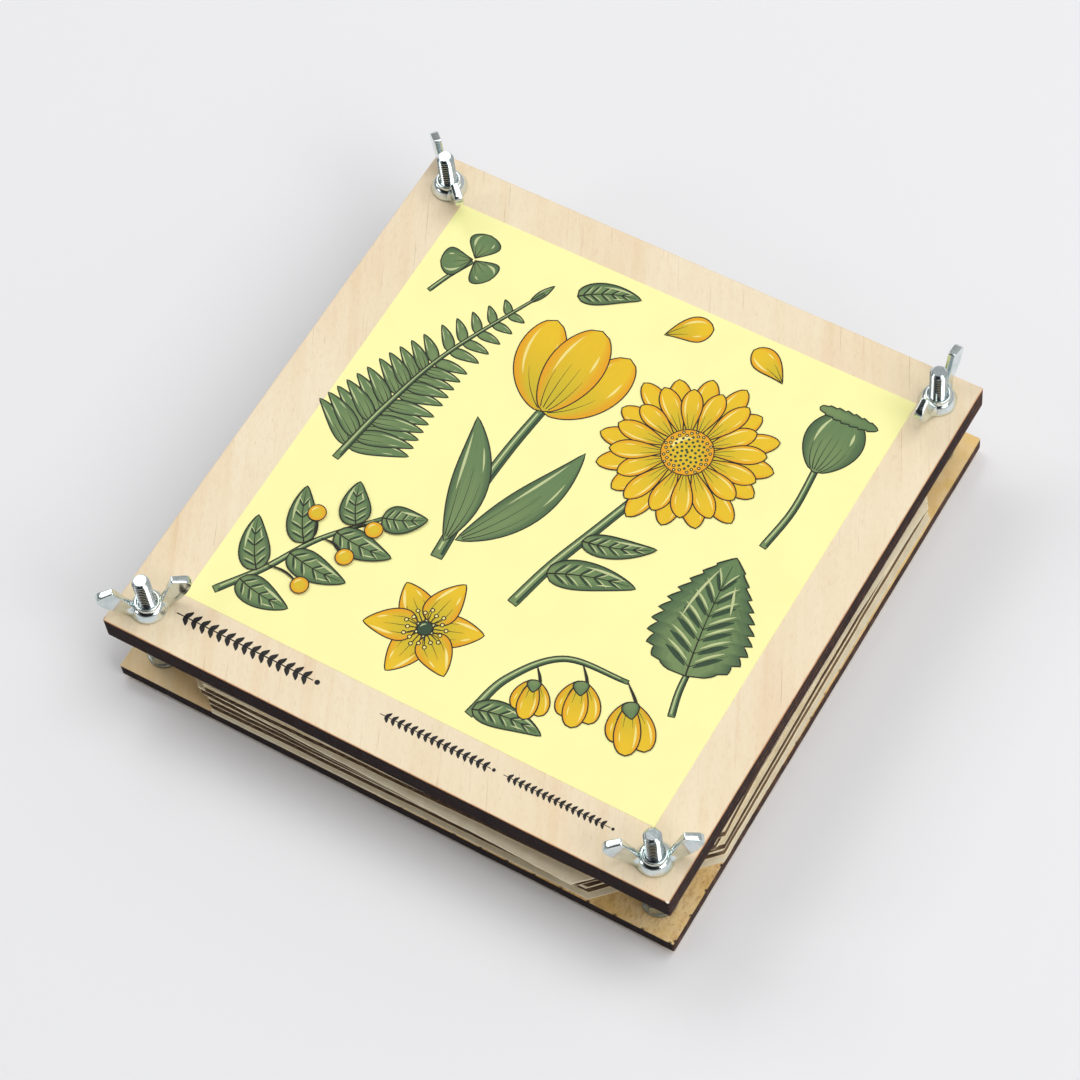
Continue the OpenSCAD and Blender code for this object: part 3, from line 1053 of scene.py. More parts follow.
@dataclass
class ThreadedRod:
    """A helical thread along Z, chamfered at its upper end."""

    crest_r: float
    root_r: float
    pitch: float
    low: float
    high: float
    chamfer: float
    steps: int = 48
    phases: tuple[float, ...] = (0.0, 0.14, 0.32, 0.5, 0.6, 0.8)
    depths: tuple[float, ...] = (0.0, 0.0, 0.5, 1.0, 1.0, 0.5)

    def add_to(self, draft: MeshDraft, slot: int = 0) -> None:
        """Adds the rod to a draft.

        Args:
            draft: The draft.
            slot: Material slot of its faces.
        """
        points_per_turn = len(self.phases)
        turns = math.ceil((self.high - self.low) / self.pitch) + 2
        number = np.arange(turns * points_per_turn)
        shift = (number // points_per_turn - 1 + np.array(self.phases)[number % points_per_turn]) * self.pitch
        radius = self.crest_r - np.array(self.depths)[number % points_per_turn] * (self.crest_r - self.root_r)
        angle = np.arange(self.steps) / self.steps
        height = self.low + shift[None, :] + angle[:, None] * self.pitch
        radii = np.broadcast_to(radius, height.shape)
        end_r = self.crest_r - self.chamfer
        cone = end_r + 1.15 * np.maximum(self.high - height, 0)
        radii = np.where(height <= self.low, self.crest_r, np.minimum(radii, cone))
        height = np.clip(height, self.low, self.high)
        turn = angle[:, None] * TAU
        points = np.stack([radii * np.cos(turn), radii * np.sin(turn), height], -1)
        start = draft.add_points(points)
        columns = len(number)
        for row in range(self.steps):
            seam = row == self.steps - 1
            next_row, lead = (0, points_per_turn) if seam else (row + 1, 0)
            for column in range(columns - 1 - lead):
                first, second = start + row * columns + column, start + next_row * columns + column + lead
                draft.add_face((first, second, second + 1, first + 1), slot)
        top = draft.add_points(np.column_stack([end_r * np.cos(turn[:, 0]), end_r * np.sin(turn[:, 0]),
                                                np.full(self.steps, self.high)]))
        draft.add_face(range(top, top + self.steps), slot)


@dataclass
class BoltSet:
    """The four coach bolts, each with its washer, lock nut and wing nut."""

    finishes: Finishes
    axes: list[tuple[float, float]]
    wing_turns: dict[str, float]
    pitch: float = 1.0
    crest_r: float = 2.82
    thread_depth: float = 0.43
    end_chamfer: float = 0.9
    head_h: float = 3.3
    neck_h: float = 3.4
    neck_w: float = 6.0
    crown_r: float = 2.5
    wing_root_t: float = 2.2
    wing_tip_t: float = 2.8
    wing_edge: float = 0.3
    wing_flare: float = 1.5

    def bolt_mesh(self) -> bpy.types.Object:
        """One coach bolt on the Z axis."""
        low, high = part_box("coach_bolt_front_left")
        head_r = (high.x - low.x) / 2 / MM
        top = high.z / MM
        draft = MeshDraft()
        rise = (head_r ** 2 - self.crown_r ** 2 - self.head_h ** 2) / (2 * self.head_h)
        dome_r = math.hypot(head_r, rise)
        lean = [math.asin(r / dome_r) for r in np.linspace(self.crown_r, head_r - 0.12, 14)]
        dome = [(dome_r * math.sin(a), self.head_h + rise - dome_r * math.cos(a)) for a in lean]
        outline = dome + [(head_r, self.head_h - 0.12), (head_r - 0.1, self.head_h), (1.5, self.head_h)]
        start = draft.add_grid(lathe(outline, 64), wrap_rows=True)
        draft.add_face([start + row * len(outline) for row in reversed(range(64))])
        self.add_neck(draft)
        rod = ThreadedRod(self.crest_r, self.crest_r - self.thread_depth, self.pitch,
                          self.head_h + self.neck_h - 0.1, top, self.end_chamfer)
        rod.add_to(draft)
        return draft.build("coach_bolt", [self.finishes.bolt], 30)

    def add_neck(self, draft: MeshDraft) -> None:
        """Adds the square neck under the head, with its corners broken."""
        half, cut = self.neck_w / 2, 0.4
        ring = [(half, -half + cut), (half, half - cut), (half - cut, half), (-half + cut, half),
                (-half, half - cut), (-half, -half + cut), (-half + cut, -half), (half - cut, -half)]
        low, high = self.head_h - 0.1, self.head_h + self.neck_h
        wall = np.array([[(x, y, low), (x, y, high - 0.2), (x * 0.95, y * 0.95, high)] for x, y in ring])
        start = draft.add_grid(wall, wrap_rows=True)
        draft.add_face([start + 3 * row + 2 for row in range(8)])

    def washer_mesh(self, low: float, high: float, outer_r: float) -> bpy.types.Object:
        """One punched washer, rounded above and crisp below."""
        bore_r = 3.2
        soft = 0.3
        outline = [(bore_r, low), (outer_r - 0.1, low), (outer_r, low + 0.1), (outer_r, high - soft),
                   (outer_r - soft * 0.3, high - soft * 0.3), (outer_r - soft, high), (bore_r + soft, high),
                   (bore_r + soft * 0.3, high - soft * 0.3), (bore_r, high - soft)]
        draft = MeshDraft()
        draft.add_grid(lathe(outline, 72), wrap_rows=True, wrap_columns=True)
        # The washer takes the darker zinc, which is painted shade
        return draft.build("plain_washer", [self.finishes.washer], 60)

    def lock_nut_mesh(self, low: float, high: float) -> bpy.types.Object:
        """One hexagon nut, chamfered round both faces."""
        flat_w, chamfer, bore_r = 10.0, 0.45, 2.95
        corner_r = flat_w / math.sqrt(3)
        rim_r = flat_w / 2 - chamfer
        steps = 96
        angles = np.arange(steps) / steps * TAU
        side_r = flat_w / 2 / np.cos((angles + math.pi / 6) % (math.pi / 3) - math.pi / 6)
        drop = (side_r - rim_r) * math.tan(math.pi / 6)
        height = high - low
        radii = [np.full(steps, bore_r), np.full(steps, bore_r + 0.5), np.full(steps, rim_r), side_r, side_r,
                 np.full(steps, rim_r), np.full(steps, bore_r + 0.5), np.full(steps, bore_r)]
        heights = [np.full(steps, 0.5), np.zeros(steps), np.zeros(steps), drop, height - drop,
                   np.full(steps, height), np.full(steps, height), np.full(steps, height - 0.5)]
        points = np.stack([np.stack([r * np.cos(angles), r * np.sin(angles), low + z], -1)
                           for r, z in zip(radii, heights)], 1)
        draft = MeshDraft()
        draft.add_grid(points, wrap_rows=True, wrap_columns=True)
        # The lock nut takes the darker zinc, which is painted shade
        return draft.build("lock_nut", [self.finishes.washer], 25)

    @staticmethod
    def wing_sides(count: int = 25, tip_count: int = 17) -> list[np.ndarray]:
        """The four sides of one wing in the plane of both: distance from the axis and height.

        Args:
            count: Points along the lower edge and along the inner edge.
            tip_count: Points across the root and round the ear.

        Returns:
            The lower edge, the ear, the inner edge and the root, each from the hub outwards or upwards.
        """
        lower = [(5.2, 0.9), (6.6, 1.2), (8.6, 2.1), (10.8, 3.9), (12.8, 6.3), (14.2, 8.7), (14.85, 10.2)]
        ear = [(14.85, 10.2), (14.85, 10.9), (14.45, 11.75), (13.75, 12.35), (12.9, 12.7), (9.5, 13.72),
               (9.15, 13.74), (8.92, 13.5)]
        inner = [(4.1, 3.3), (4.7, 4.5), (8.92, 13.5)]
        root = [(5.2, 0.9), (4.1, 3.3)]
        sides = []
        for knots, wanted in ((lower, count), (ear, tip_count), (inner, count), (root, tip_count)):
            line = np.array(knots, float)
            run = np.concatenate([[0], np.cumsum(np.linalg.norm(np.diff(line, axis=0), axis=1))])
            place = np.sort(np.concatenate([run, np.linspace(0, run[-1], wanted - len(run) + 2)[1:-1]]))
            sides.append(np.stack([np.interp(place, run, line[:, axis]) for axis in (0, 1)], -1))
        return sides

    def half_thickness(self, flat: np.ndarray) -> np.ndarray:
        """Half a wing's thickness at places in its plane, fuller where it runs into the hub."""
        grow = np.clip((flat[..., 0] - 4) / 10, 0, 1)
        plate = (self.wing_root_t + (self.wing_tip_t - self.wing_root_t) * grow) / 2
        flare = self.wing_flare * (1 - ease(4.2, 8.4, flat[..., 0])) * (1 - ease(1.2, 4.6, flat[..., 1]))
        return plate + flare

    def add_wing(self, draft: MeshDraft, side: int) -> None:
        """Adds one wing: two faces that flare towards the hub and a rim with soft arrises.

        Args:
            draft: The draft.
            side: 1 for the wing on positive X, -1 for the other.
        """
        lower, ear, inner, root = self.wing_sides()
        outline = np.concatenate([lower[:-1], ear[:-1], inner[::-1][:-1], root[::-1][:-1]])
        edge = np.roll(outline, -1, 0) - np.roll(outline, 1, 0)
        inward = np.stack([-edge[:, 1], edge[:, 0]], -1)
        inward /= np.linalg.norm(inward, axis=1)[:, None]
        rings = []
        for inset, share in ((1.0, -1.0), (0.5, -0.96), (0.16, -0.88), (0.0, -0.76), (0.0, 0.76),
                             (0.16, 0.88), (0.5, 0.96), (1.0, 1.0)):
            flat = outline + inward * inset * self.wing_edge
            off = side * share * self.half_thickness(flat)
            rings.append(np.stack([side * flat[:, 0], off, flat[:, 1]], -1))
        draft.add_grid(np.stack(rings, 1), wrap_rows=True)
        rim = outline + inward * self.wing_edge
        ends = np.cumsum([len(lower) - 1, len(ear) - 1, len(inner) - 1, len(root) - 1])
        low, tip = rim[:ends[0] + 1], rim[ends[0]:ends[1] + 1]
        high = rim[ends[1]:ends[2] + 1][::-1]
        foot = np.concatenate([rim[ends[2]:], rim[:1]])[::-1]
        s = np.linspace(0, 1, len(low))[:, None, None]
        t = np.linspace(0, 1, len(tip))[None, :, None]
        corners = ((1 - s) * (1 - t) * low[0] + s * (1 - t) * low[-1]
                   + (1 - s) * t * high[0] + s * t * high[-1])
        flat = (1 - t) * low[:, None] + t * high[:, None] + (1 - s) * foot[None] + s * tip[None] - corners
        for face in (1, -1):
            height = face * side * self.half_thickness(flat)
            draft.add_grid(np.stack([side * flat[..., 0], height, flat[..., 1]], -1))

    def wing_nut_mesh(self) -> bpy.types.Object:
        """One forged wing nut, standing on the origin, its two wings run into the hub."""
        bore_r = 2.98
        hub = [(bore_r, 0.4), (bore_r + 0.4, 0), (5.78, 0), (5.96, 0.12), (6.0, 0.3), (6.0, 0.8), (5.9, 1.0),
               (5.08, 2.6), (4.98, 2.78), (4.8, 2.96), (4.3, 3.3), (4.08, 3.4), (4.04, 4.12), (3.94, 4.32),
               (3.78, 4.4), (3.5, 4.4), (3.36, 4.32), (bore_r, 3.85)]
        draft = MeshDraft()
        draft.add_grid(lathe(hub, 96), wrap_rows=True, wrap_columns=True)
        for side in (1, -1):
            self.add_wing(draft, side)
        made = draft.build("wing_nut", [self.finishes.nut], 48)
        work = bmesh.new()
        work.from_mesh(made.data)
        bmesh.ops.recalc_face_normals(work, faces=work.faces)
        work.to_mesh(made.data)
        work.free()
        return made

    def build(self) -> None:
        """Builds the hardware of all four corners."""
        washer_low, washer_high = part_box("washer_front_left")
        nut_low, nut_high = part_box("lock_nut_front_left")
        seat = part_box("wing_nut_front_left")[0].z / MM
        washer_r = (washer_high.x - washer_low.x) / 2 / MM
        patterns = {
            "coach_bolt": self.bolt_mesh(),
            "washer": self.washer_mesh(washer_low.z / MM, washer_high.z / MM, washer_r),
            "lock_nut": self.lock_nut_mesh(nut_low.z / MM, nut_high.z / MM),
            "wing_nut": self.wing_nut_mesh(),
        }
        slots = {"coach_bolt": "zinc_bolts", "washer": "zinc_washers", "lock_nut": "zinc_lock_nuts",
                 "wing_nut": "zinc_wing_nuts"}
        for corner, (x, y) in zip(CORNERS, self.axes):
            for kind, pattern in patterns.items():
                mesh = pattern.data.copy()
                lift = seat if kind == "wing_nut" else 0.0
                turn = self.wing_turns[corner] if kind == "wing_nut" else 0.0
                mesh.transform(Matrix.Translation(Vector((x, y, lift)) * MM)
                               @ Matrix.Rotation(math.radians(turn), 4, "Z"))
                piece = bpy.data.objects.new(f"zinc_{kind}_{corner}", mesh)
                bpy.context.scene.collection.objects.link(piece)
                body = f"nut_{corner}" if kind == "wing_nut" else "base"
                finish_piece(piece, body, slots[kind], f"{kind}_{corner}")
        for pattern in patterns.values():
            bpy.data.objects.remove(pattern)


@dataclass
class SheetLie:
    """Where one sheet of the pile lies, read from its node."""

    centre: np.ndarray
    turn: float
    half: float
    cut: float
    low: float
    high: float

    @classmethod
    def of_node(cls, node: bpy.types.Object) -> "SheetLie":
        """Reads the eight corners of a sheet's underside.

        Args:
            node: The sheet's node.

        Returns:
            Where the sheet lies, in millimetres and radians.
        """
        points = np.array([v.co for v in node.data.vertices], float) / MM
        low, high = points[:, 2].min(), points[:, 2].max()
        flat = np.unique(points[points[:, 2] < low + 0.01][:, :2].round(3), axis=0)
        middle = (flat.max(0) + flat.min(0)) / 2
        reach = np.linalg.norm(flat - middle, axis=1)
        corners = flat[reach > reach.max() - 6]
        order = np.argsort(np.arctan2(corners[:, 1] - middle[1], corners[:, 0] - middle[0]))
        corners = cls.spread(corners[order])
        centre = corners.mean(0)
        sides = np.roll(corners, -1, 0) - corners
        lengths = np.linalg.norm(sides, axis=1)
        long_sides = [i for i in range(8) if lengths[i] > lengths.mean()]
        right = max(long_sides, key=lambda i: corners[i][0] + sides[i][0] / 2)
        turn = math.atan2(-sides[right][0], sides[right][1])
        normal = np.array([math.cos(turn), math.sin(turn)])
        half = float((corners[right] - centre) @ normal)
        return cls(centre, turn, half, half - lengths[right] / 2, low, high)

    @staticmethod
    def spread(ring: np.ndarray) -> np.ndarray:
        """The eight corners of an ordered ring, without points that lie on its straight sides."""
        kept = []
        for before, here, after in zip(np.roll(ring, 1, 0), ring, np.roll(ring, -1, 0)):
            first, second = here - before, after - here
            bend = first[0] * second[1] - first[1] * second[0]
            if abs(bend) > 0.2 * np.linalg.norm(first) * np.linalg.norm(second):
                kept.append(here)
        return np.array(kept)


@dataclass
class Sheet:
    """The cut outline of one sheet, with edges as a hand and a blade leave them."""

    lie: SheetLie
    seed: int
    hollow_right: float
    wander: float = 0.16

    def __post_init__(self) -> None:
        """Draws the unevenness of the four sides."""
        self.sides = [Wobble(self.seed * 10 + number, self.wander, (90, 31, 12, 5)) for number in range(4)]

    def reach(self, across: np.ndarray) -> np.ndarray:
        """Half the sheet's depth at a distance from its middle line."""
        return np.minimum(self.lie.half, 2 * self.lie.half - self.lie.cut - np.abs(across))

    def place(self, across: np.ndarray, share: np.ndarray) -> np.ndarray:
        """Places points of the sheet in the row frame.

        Args:
            across: Distance along the sheet's own X.
            share: Place from the front edge, 0, to the back edge, 1.

        Returns:
            X and Y of each point.
        """
        half = self.lie.half
        depth = (2 * share - 1) * self.reach(across)
        near_right = ease(half - 14, half, across)
        near_left = ease(half - 14, half, -across)
        bow = self.hollow_right * (1 - np.clip(depth / (half - self.lie.cut), -1, 1) ** 2)
        x = across - near_right * (bow + np.abs(self.sides[0].at(depth)) - self.sides[0].at(depth) * 0.3)
        x = x + near_left * (np.abs(self.sides[1].at(depth)))
        y = depth + ease(half - 14, half, -depth) * np.abs(self.sides[2].at(across))
        y = y - ease(half - 14, half, depth) * np.abs(self.sides[3].at(across))
        spin = self.lie.turn
        return np.stack([self.lie.centre[0] + x * math.cos(spin) - y * math.sin(spin),
                         self.lie.centre[1] + x * math.sin(spin) + y * math.cos(spin)], -1)

    def columns(self, step: float) -> np.ndarray:
        """Places of a net's columns, with one at each cut corner."""
        inner = self.lie.half - self.lie.cut
        middle = np.linspace(-inner, inner, int(2 * inner / step) + 1)
        outer = np.linspace(inner, self.lie.half, int(self.lie.cut / step) + 2)[1:]
        return np.concatenate([-outer[::-1], middle, outer])

    def add_plate(
        self, draft: MeshDraft, low: float, high: float, top_slot: int = 0, bottom_slot: int = 0,
        step: float = 3.0,
    ) -> None:
        """Adds a flat layer of the sheet's full outline to a draft.

        Args:
            draft: The draft.
            low: Height of its underside.
            high: Height of its upper side.
            top_slot: Material slot of its upper side.
            bottom_slot: Material slot of its underside.
            step: Size of its faces.
        """
        columns = self.columns(step)
        shares = np.linspace(0, 1, int(2 * self.lie.half / step))
        across, share = np.meshgrid(columns, shares, indexing="ij")
        flat = self.place(across, share)
        top = np.concatenate([flat, np.full((*flat.shape[:2], 1), high)], -1)
        bottom = np.concatenate([flat, np.full((*flat.shape[:2], 1), low)], -1)
        draft.add_grid(top, top_slot)
        draft.add_grid(bottom, bottom_slot, flip=True)
        rows, depth = flat.shape[:2]
        walk = ([(0, j) for j in range(depth)][::-1] + [(i, 0) for i in range(1, rows)]
                + [(rows - 1, j) for j in range(1, depth)] + [(i, depth - 1) for i in range(rows - 2, 0, -1)])
        edge = np.array([[bottom[i, j], top[i, j]] for i, j in walk])
        draft.add_grid(edge, 0, wrap_rows=True)


@dataclass
class Pile:
    """The corrugated cards and blotting sheets between the boards."""

    finishes: Finishes
    nodes: dict[str, bpy.types.Object]
    liner_t: float = 0.3
    flute_t: float = 0.26
    flute_pitch: float = 8.0
    hollow: tuple[float, ...] = (0.3, 0.4, 1.2, 1.5, 1.3)
    points_per_wave: int = 16

    def card(self, number: int) -> None:
        """Builds one corrugated card, from its two liners and its wave of fluting."""
        node = f"card_{number}"
        sheet = Sheet(SheetLie.of_node(self.nodes[node]), 40 + number, self.hollow[number - 1])
        low, high = sheet.lie.low, sheet.lie.high
        draft = MeshDraft()
        # The liners' inner faces take the fluting's kraft, partly its real brown and partly painted shade of
        # the hollows
        sheet.add_plate(draft, low, low + self.liner_t, top_slot=1)
        sheet.add_plate(draft, high - self.liner_t, high, bottom_slot=1)
        self.add_fluting(draft, sheet)
        piece = draft.build(f"corrugated_card_{number}", [self.finishes.liner, self.finishes.fluting], 40)
        finish_piece(piece, "base", "corrugated_card", node)

    def add_fluting(self, draft: MeshDraft, sheet: Sheet) -> None:
        """Adds the wave between the liners, cut to the sheet's outline."""
        half = sheet.lie.half - 0.05
        count = int(2 * half / self.flute_pitch * self.points_per_wave)
        inner = sheet.lie.half - sheet.lie.cut
        across = np.unique(np.concatenate([np.linspace(-half, half, count), [-inner, inner]]).round(4))
        middle = (sheet.lie.low + sheet.lie.high) / 2
        swing = (sheet.lie.high - sheet.lie.low) / 2 - self.liner_t - self.flute_t / 2 + 0.02
        turn = across / self.flute_pitch * TAU + sheet.seed
        wave = middle + swing * np.sin(turn)
        slope = swing * TAU / self.flute_pitch * np.cos(turn)
        lean = self.flute_t / 2 / np.hypot(1, slope)
        shares = np.linspace(0, 1, 34)
        skins = []
        for side in (1, -1):
            shifted = across - side * slope * lean
            grid_x, share = np.meshgrid(np.clip(shifted, -half, half), shares, indexing="ij")
            flat = sheet.place(grid_x, 0.0005 + share * 0.999)
            height = np.broadcast_to((wave + side * lean)[:, None, None], (*flat.shape[:2], 1))
            skins.append(np.concatenate([flat, height], -1))
        draft.add_grid(skins[0], 1)
        draft.add_grid(skins[1], 1, flip=True)
        for end in (0, -1):
            strip = np.stack([skins[1][:, end], skins[0][:, end]], 1)
            draft.add_grid(strip, 1, flip=end == -1)
            strip = np.stack([skins[1][end], skins[0][end]], 1)
            draft.add_grid(strip, 1, flip=end == 0)

    def blotting_sheet(self, number: int) -> None:
        """Builds one sheet of blotting paper."""
        node = f"blotting_sheet_{number}"
        layer = (number - 1) // 2
        hollow = (0.15, 0.9, 0.8, 0.5, 1.2)[layer] + 0.15 * (number % 2)
        sheet = Sheet(SheetLie.of_node(self.nodes[node]), 80 + number, hollow, 0.22)
        draft = MeshDraft()
        sheet.add_plate(draft, sheet.lie.low, sheet.lie.high)
        piece = draft.build(f"blotting_paper_{number}", [self.finishes.blotting], 40)
        finish_piece(piece, "base", "blotting_paper", node)

    def build(self) -> None:
        """Builds every sheet of the pile."""
        for number in range(1, sum(name.startswith("card_") for name in self.nodes) + 1):
            self.card(number)
        for number in range(1, sum(name.startswith("blotting_sheet_") for name in self.nodes) + 1):
            self.blotting_sheet(number)


class Blade(Enum):
    """Shapes of petals and leaves: powers that set where the blade is widest and how full it is."""

    LANCE = (0.9, 0.9)
    OVATE = (0.62, 0.75)
    OBOVATE = (1.7, 0.6)
    STRAP = (0.95, 0.42)
    ROUND = (1.15, 0.5)
    TONGUE = (1.4, 0.45)


@dataclass
class Figure:
    """One drawn figure of the print: shapes of ink, each a hair above the last."""

    name: str
    inks: list[bpy.types.Material]
    floor: float
    origin: tuple[float, float]
    step: float = 0.003
    line_w: float = 0.4
    draft: MeshDraft = field(default_factory=MeshDraft)

    def __post_init__(self) -> None:
        """Starts just above the ground."""
        self.level = self.floor

    def lay(self, flat: np.ndarray) -> np.ndarray:
        """Puts drawn points on the board at the next height."""
        self.level += self.step
        height = np.full((*flat.shape[:-1], 1), self.level)
        return np.concatenate([flat + np.array(self.origin), height], -1)

    def tier(self, draws: Sequence[Callable[[], None]]) -> None:
        """Draws shapes that don't meet one another, all from the same height."""
        base = top = self.level
        for draw in draws:
            self.level = base
            draw()
            top = max(top, self.level)
        self.level = top

    @staticmethod
    def sideways(line: np.ndarray, closed: bool = False) -> np.ndarray:
        """Unit vectors to the left of a line's run."""
        if closed:
            run = np.roll(line, -1, 0) - np.roll(line, 1, 0)
        else:
            run = np.gradient(line, axis=0)
        run /= np.maximum(np.linalg.norm(run, axis=1), 1e-6)[:, None]
        return np.stack([-run[:, 1], run[:, 0]], -1)

    def ribbon(
        self, line: np.ndarray, half_w: np.ndarray, ink: Ink, closed: bool = False, lanes: int = 2
    ) -> None:
        """Draws a band along a line.

        Args:
            line: Points of its middle.
            half_w: Half its width at each point.
            ink: Its ink.
            closed: Whether the band meets itself.
            lanes: Points across it.
        """
        across = np.linspace(-1, 1, lanes)
        left = self.sideways(line, closed)
        widths = np.broadcast_to(half_w, (len(line),))[:, None] * across
        flat = line[:, None] - left[:, None] * widths[..., None]
        along = np.broadcast_to(np.linspace(0, 1, len(line))[:, None], flat.shape[:2])
        side = np.broadcast_to(across[None], flat.shape[:2])
        self.draft.add_grid(self.lay(flat), ink.value, wrap_rows=closed, flip=True, along=along, across=side)

    def stroke(
        self, points: Sequence[tuple[float, float]], width: float, ink: Ink = Ink.LINE, taper: float = 0.15
    ) -> None:
        """Draws a pen stroke that swells in the middle, through a few points."""
        line = self.curve(points, 5 * len(points))
        swell = taper + (1 - taper) * np.sin(np.linspace(0.15, math.pi - 0.1, len(line)))
        self.ribbon(line, width / 2 * swell, ink)

    @staticmethod
    def curve(points: Sequence[tuple[float, float]], count: int) -> np.ndarray:
        """A smooth line through a few points.

        Args:
            points: The points.
            count: Number of points wanted.

        Returns:
            X and Y of each point.
        """
        knots = np.array(points, float)
        if len(knots) == 2:
            return knots[0] + np.linspace(0, 1, count)[:, None] * (knots[1] - knots[0])
        padded = np.concatenate([[2 * knots[0] - knots[1]], knots, [2 * knots[-1] - knots[-2]]])
        place = np.linspace(0, len(knots) - 1 - 1e-9, count)
        part = place.astype(int)
        t = (place - part)[:, None]
        a, b, c, d = (padded[part + k] for k in range(4))
        square = 2 * a - 5 * b + 4 * c - d
        cube = 3 * b - a - 3 * c + d
        return 0.5 * (2 * b + (c - a) * t + square * t ** 2 + cube * t ** 3)

    def blade(
        self,
        base: Sequence[float],
        tip: Sequence[float],
        half_w: float,
        shape: Blade,
        ink: Ink,
        bend: float = 0.0,
        teeth: int = 0,
        tooth_depth: float = 0.12,
        veins: int = 0,
        rays: int = 0,
        glint: bool = True,
    ) -> None:
        """Draws a petal or leaf with its outline, veins and lights.

        Args:
            base: Where it is attached.
            tip: Where it ends.
            half_w: Half its greatest width.
            shape: Its shape.
            ink: Its ink.
            bend: How far its middle swings to the left, as a share of its length.
            teeth: Number of teeth on each side.
            tooth_depth: Depth of the teeth, as a share of the half width.
            veins: Number of side veins on each side.
            rays: Number of fine lines that fan out from its base.
            glint: Whether it has lights along its sides.
        """
        start, end = np.array(base, float), np.array(tip, float)
        axis = end - start
        elbow = (start + end) / 2 + np.array([-axis[1], axis[0]]) * bend
        rows = max(26, teeth * 5 + 1)
        u = np.linspace(0, 1, rows)
        middle = (((1 - u) ** 2)[:, None] * start + (2 * u * (1 - u))[:, None] * elbow
                  + (u ** 2)[:, None] * end)
        left = self.sideways(middle)
        where, fullness = shape.value
        width = half_w * np.sin(math.pi * u ** where) ** fullness
        width[[0, -1]] = 0
        smooth = width * (1 - tooth_depth) if teeth else width
        if teeth:
            notches = 1 - tooth_depth * ((u * teeth) % 1)
            width = width * notches + 0.02 * half_w * ease(0, 0.1, u) * ease(0, 0.1, 1 - u)
        across = np.linspace(-1, 1, 9)
        flat = middle[:, None] - left[:, None] * (width[:, None] * across)[..., None]
        along = np.broadcast_to(u[:, None], flat.shape[:2])
        side = np.broadcast_to(across, flat.shape[:2])
        self.draft.add_grid(self.lay(flat), ink.value, flip=True, along=along, across=side)
        if veins:
            self.add_veins(middle, left, smooth, veins)
        if glint:
            self.add_lights(middle, left, smooth, half_w, ink)
        for ray in range(rays):
            lean = 0.75 * (2 * (ray + 0.5) / rays - 1)
            last = int(rows * (0.62 - 0.22 * abs(lean)))
            line = (middle + left * (width * lean)[:, None])[1:last]
            self.ribbon(line, self.line_w * 0.4 * np.linspace(1, 0.25, len(line)), Ink.LINE)
        rim = np.concatenate([flat[:, 0], flat[::-1, -1][1:-1]])
        self.ribbon(rim, np.full(len(rim), self.line_w / 2), Ink.LINE, closed=True)

    def add_lights(
        self, middle: np.ndarray, left: np.ndarray, width: np.ndarray, half_w: float, ink: Ink
    ) -> None:
        """Draws a long light along one side of a blade and a short one along the other."""
        light = Ink.GLOW if ink is Ink.PETAL else Ink.GLINT
        rows = len(middle)
        for side, first, last, size in ((0.62, 0.42, 0.9, 0.085), (-0.55, 0.55, 0.8, 0.05)):
            span = slice(int(rows * first), int(rows * last))
            swell = np.sin(np.linspace(0.05, math.pi - 0.05, len(middle[span])))
            line = (middle + left * (width * side)[:, None])[span]
            self.ribbon(line, min(half_w * size, 0.45) * swell, light)

    def add_veins(self, middle: np.ndarray, left: np.ndarray, width: np.ndarray, veins: int) -> None:
        """Draws a midrib and pairs of side veins, with a shade and a light beside each."""
        rows = len(middle)
        keep = slice(0, int(rows * 0.93))
        fade = np.linspace(1, 0.25, len(middle[keep]))
        for number in range(veins):
            root = int(rows * (0.08 + 0.72 * number / veins))
            end = min(rows - 2, root + max(2, int(rows * 0.17)))
            shift = (middle[end] - middle[root]) * 0.17
            for side in (1, -1):
                goal = middle[end] + side * left[end] * width[end] * 0.84
                bow = (middle[root] + goal) / 2 + (middle[end] - middle[root]) * 0.08
                line = self.curve([middle[root], bow, goal], 9)
                reach = np.linalg.norm(goal - middle[root])
                swell = np.sin(np.linspace(0.25, 3, 7))
                self.ribbon(line[1:-1] - shift * 0.7, min(reach * 0.07, 0.9) * swell, Ink.SEED)
                self.ribbon(line[1:-1] + shift, min(reach * 0.035, 0.4) * swell, Ink.GLINT)
                self.ribbon(line, self.line_w * 0.36 * np.linspace(1, 0.3, 9), Ink.LINE)
        self.ribbon(middle[keep], self.line_w * 0.6 * fade, Ink.LINE)

    def stem(self, points: Sequence[tuple[float, float]], start_w: float, end_w: float) -> None:
        """Draws a stalk through a few points, dark on one side and light along the middle."""
        line = self.curve(points, 12 * len(points))
        half = np.linspace(start_w, end_w, len(line)) / 2
        self.ribbon(line, half, Ink.LEAF, lanes=5)
        left = self.sideways(line)
        self.ribbon((line - left * (half * 0.55)[:, None])[1:-1], (half * 0.25)[1:-1], Ink.SEED)
        self.ribbon((line + left * (half * 0.3)[:, None])[2:-2], (half * 0.17)[2:-2], Ink.GLINT)
        rim = np.concatenate([line + left * half[:, None], (line - left * half[:, None])[::-1]])
        self.ribbon(rim, np.full(len(rim), self.line_w * 0.45), Ink.LINE, closed=True)

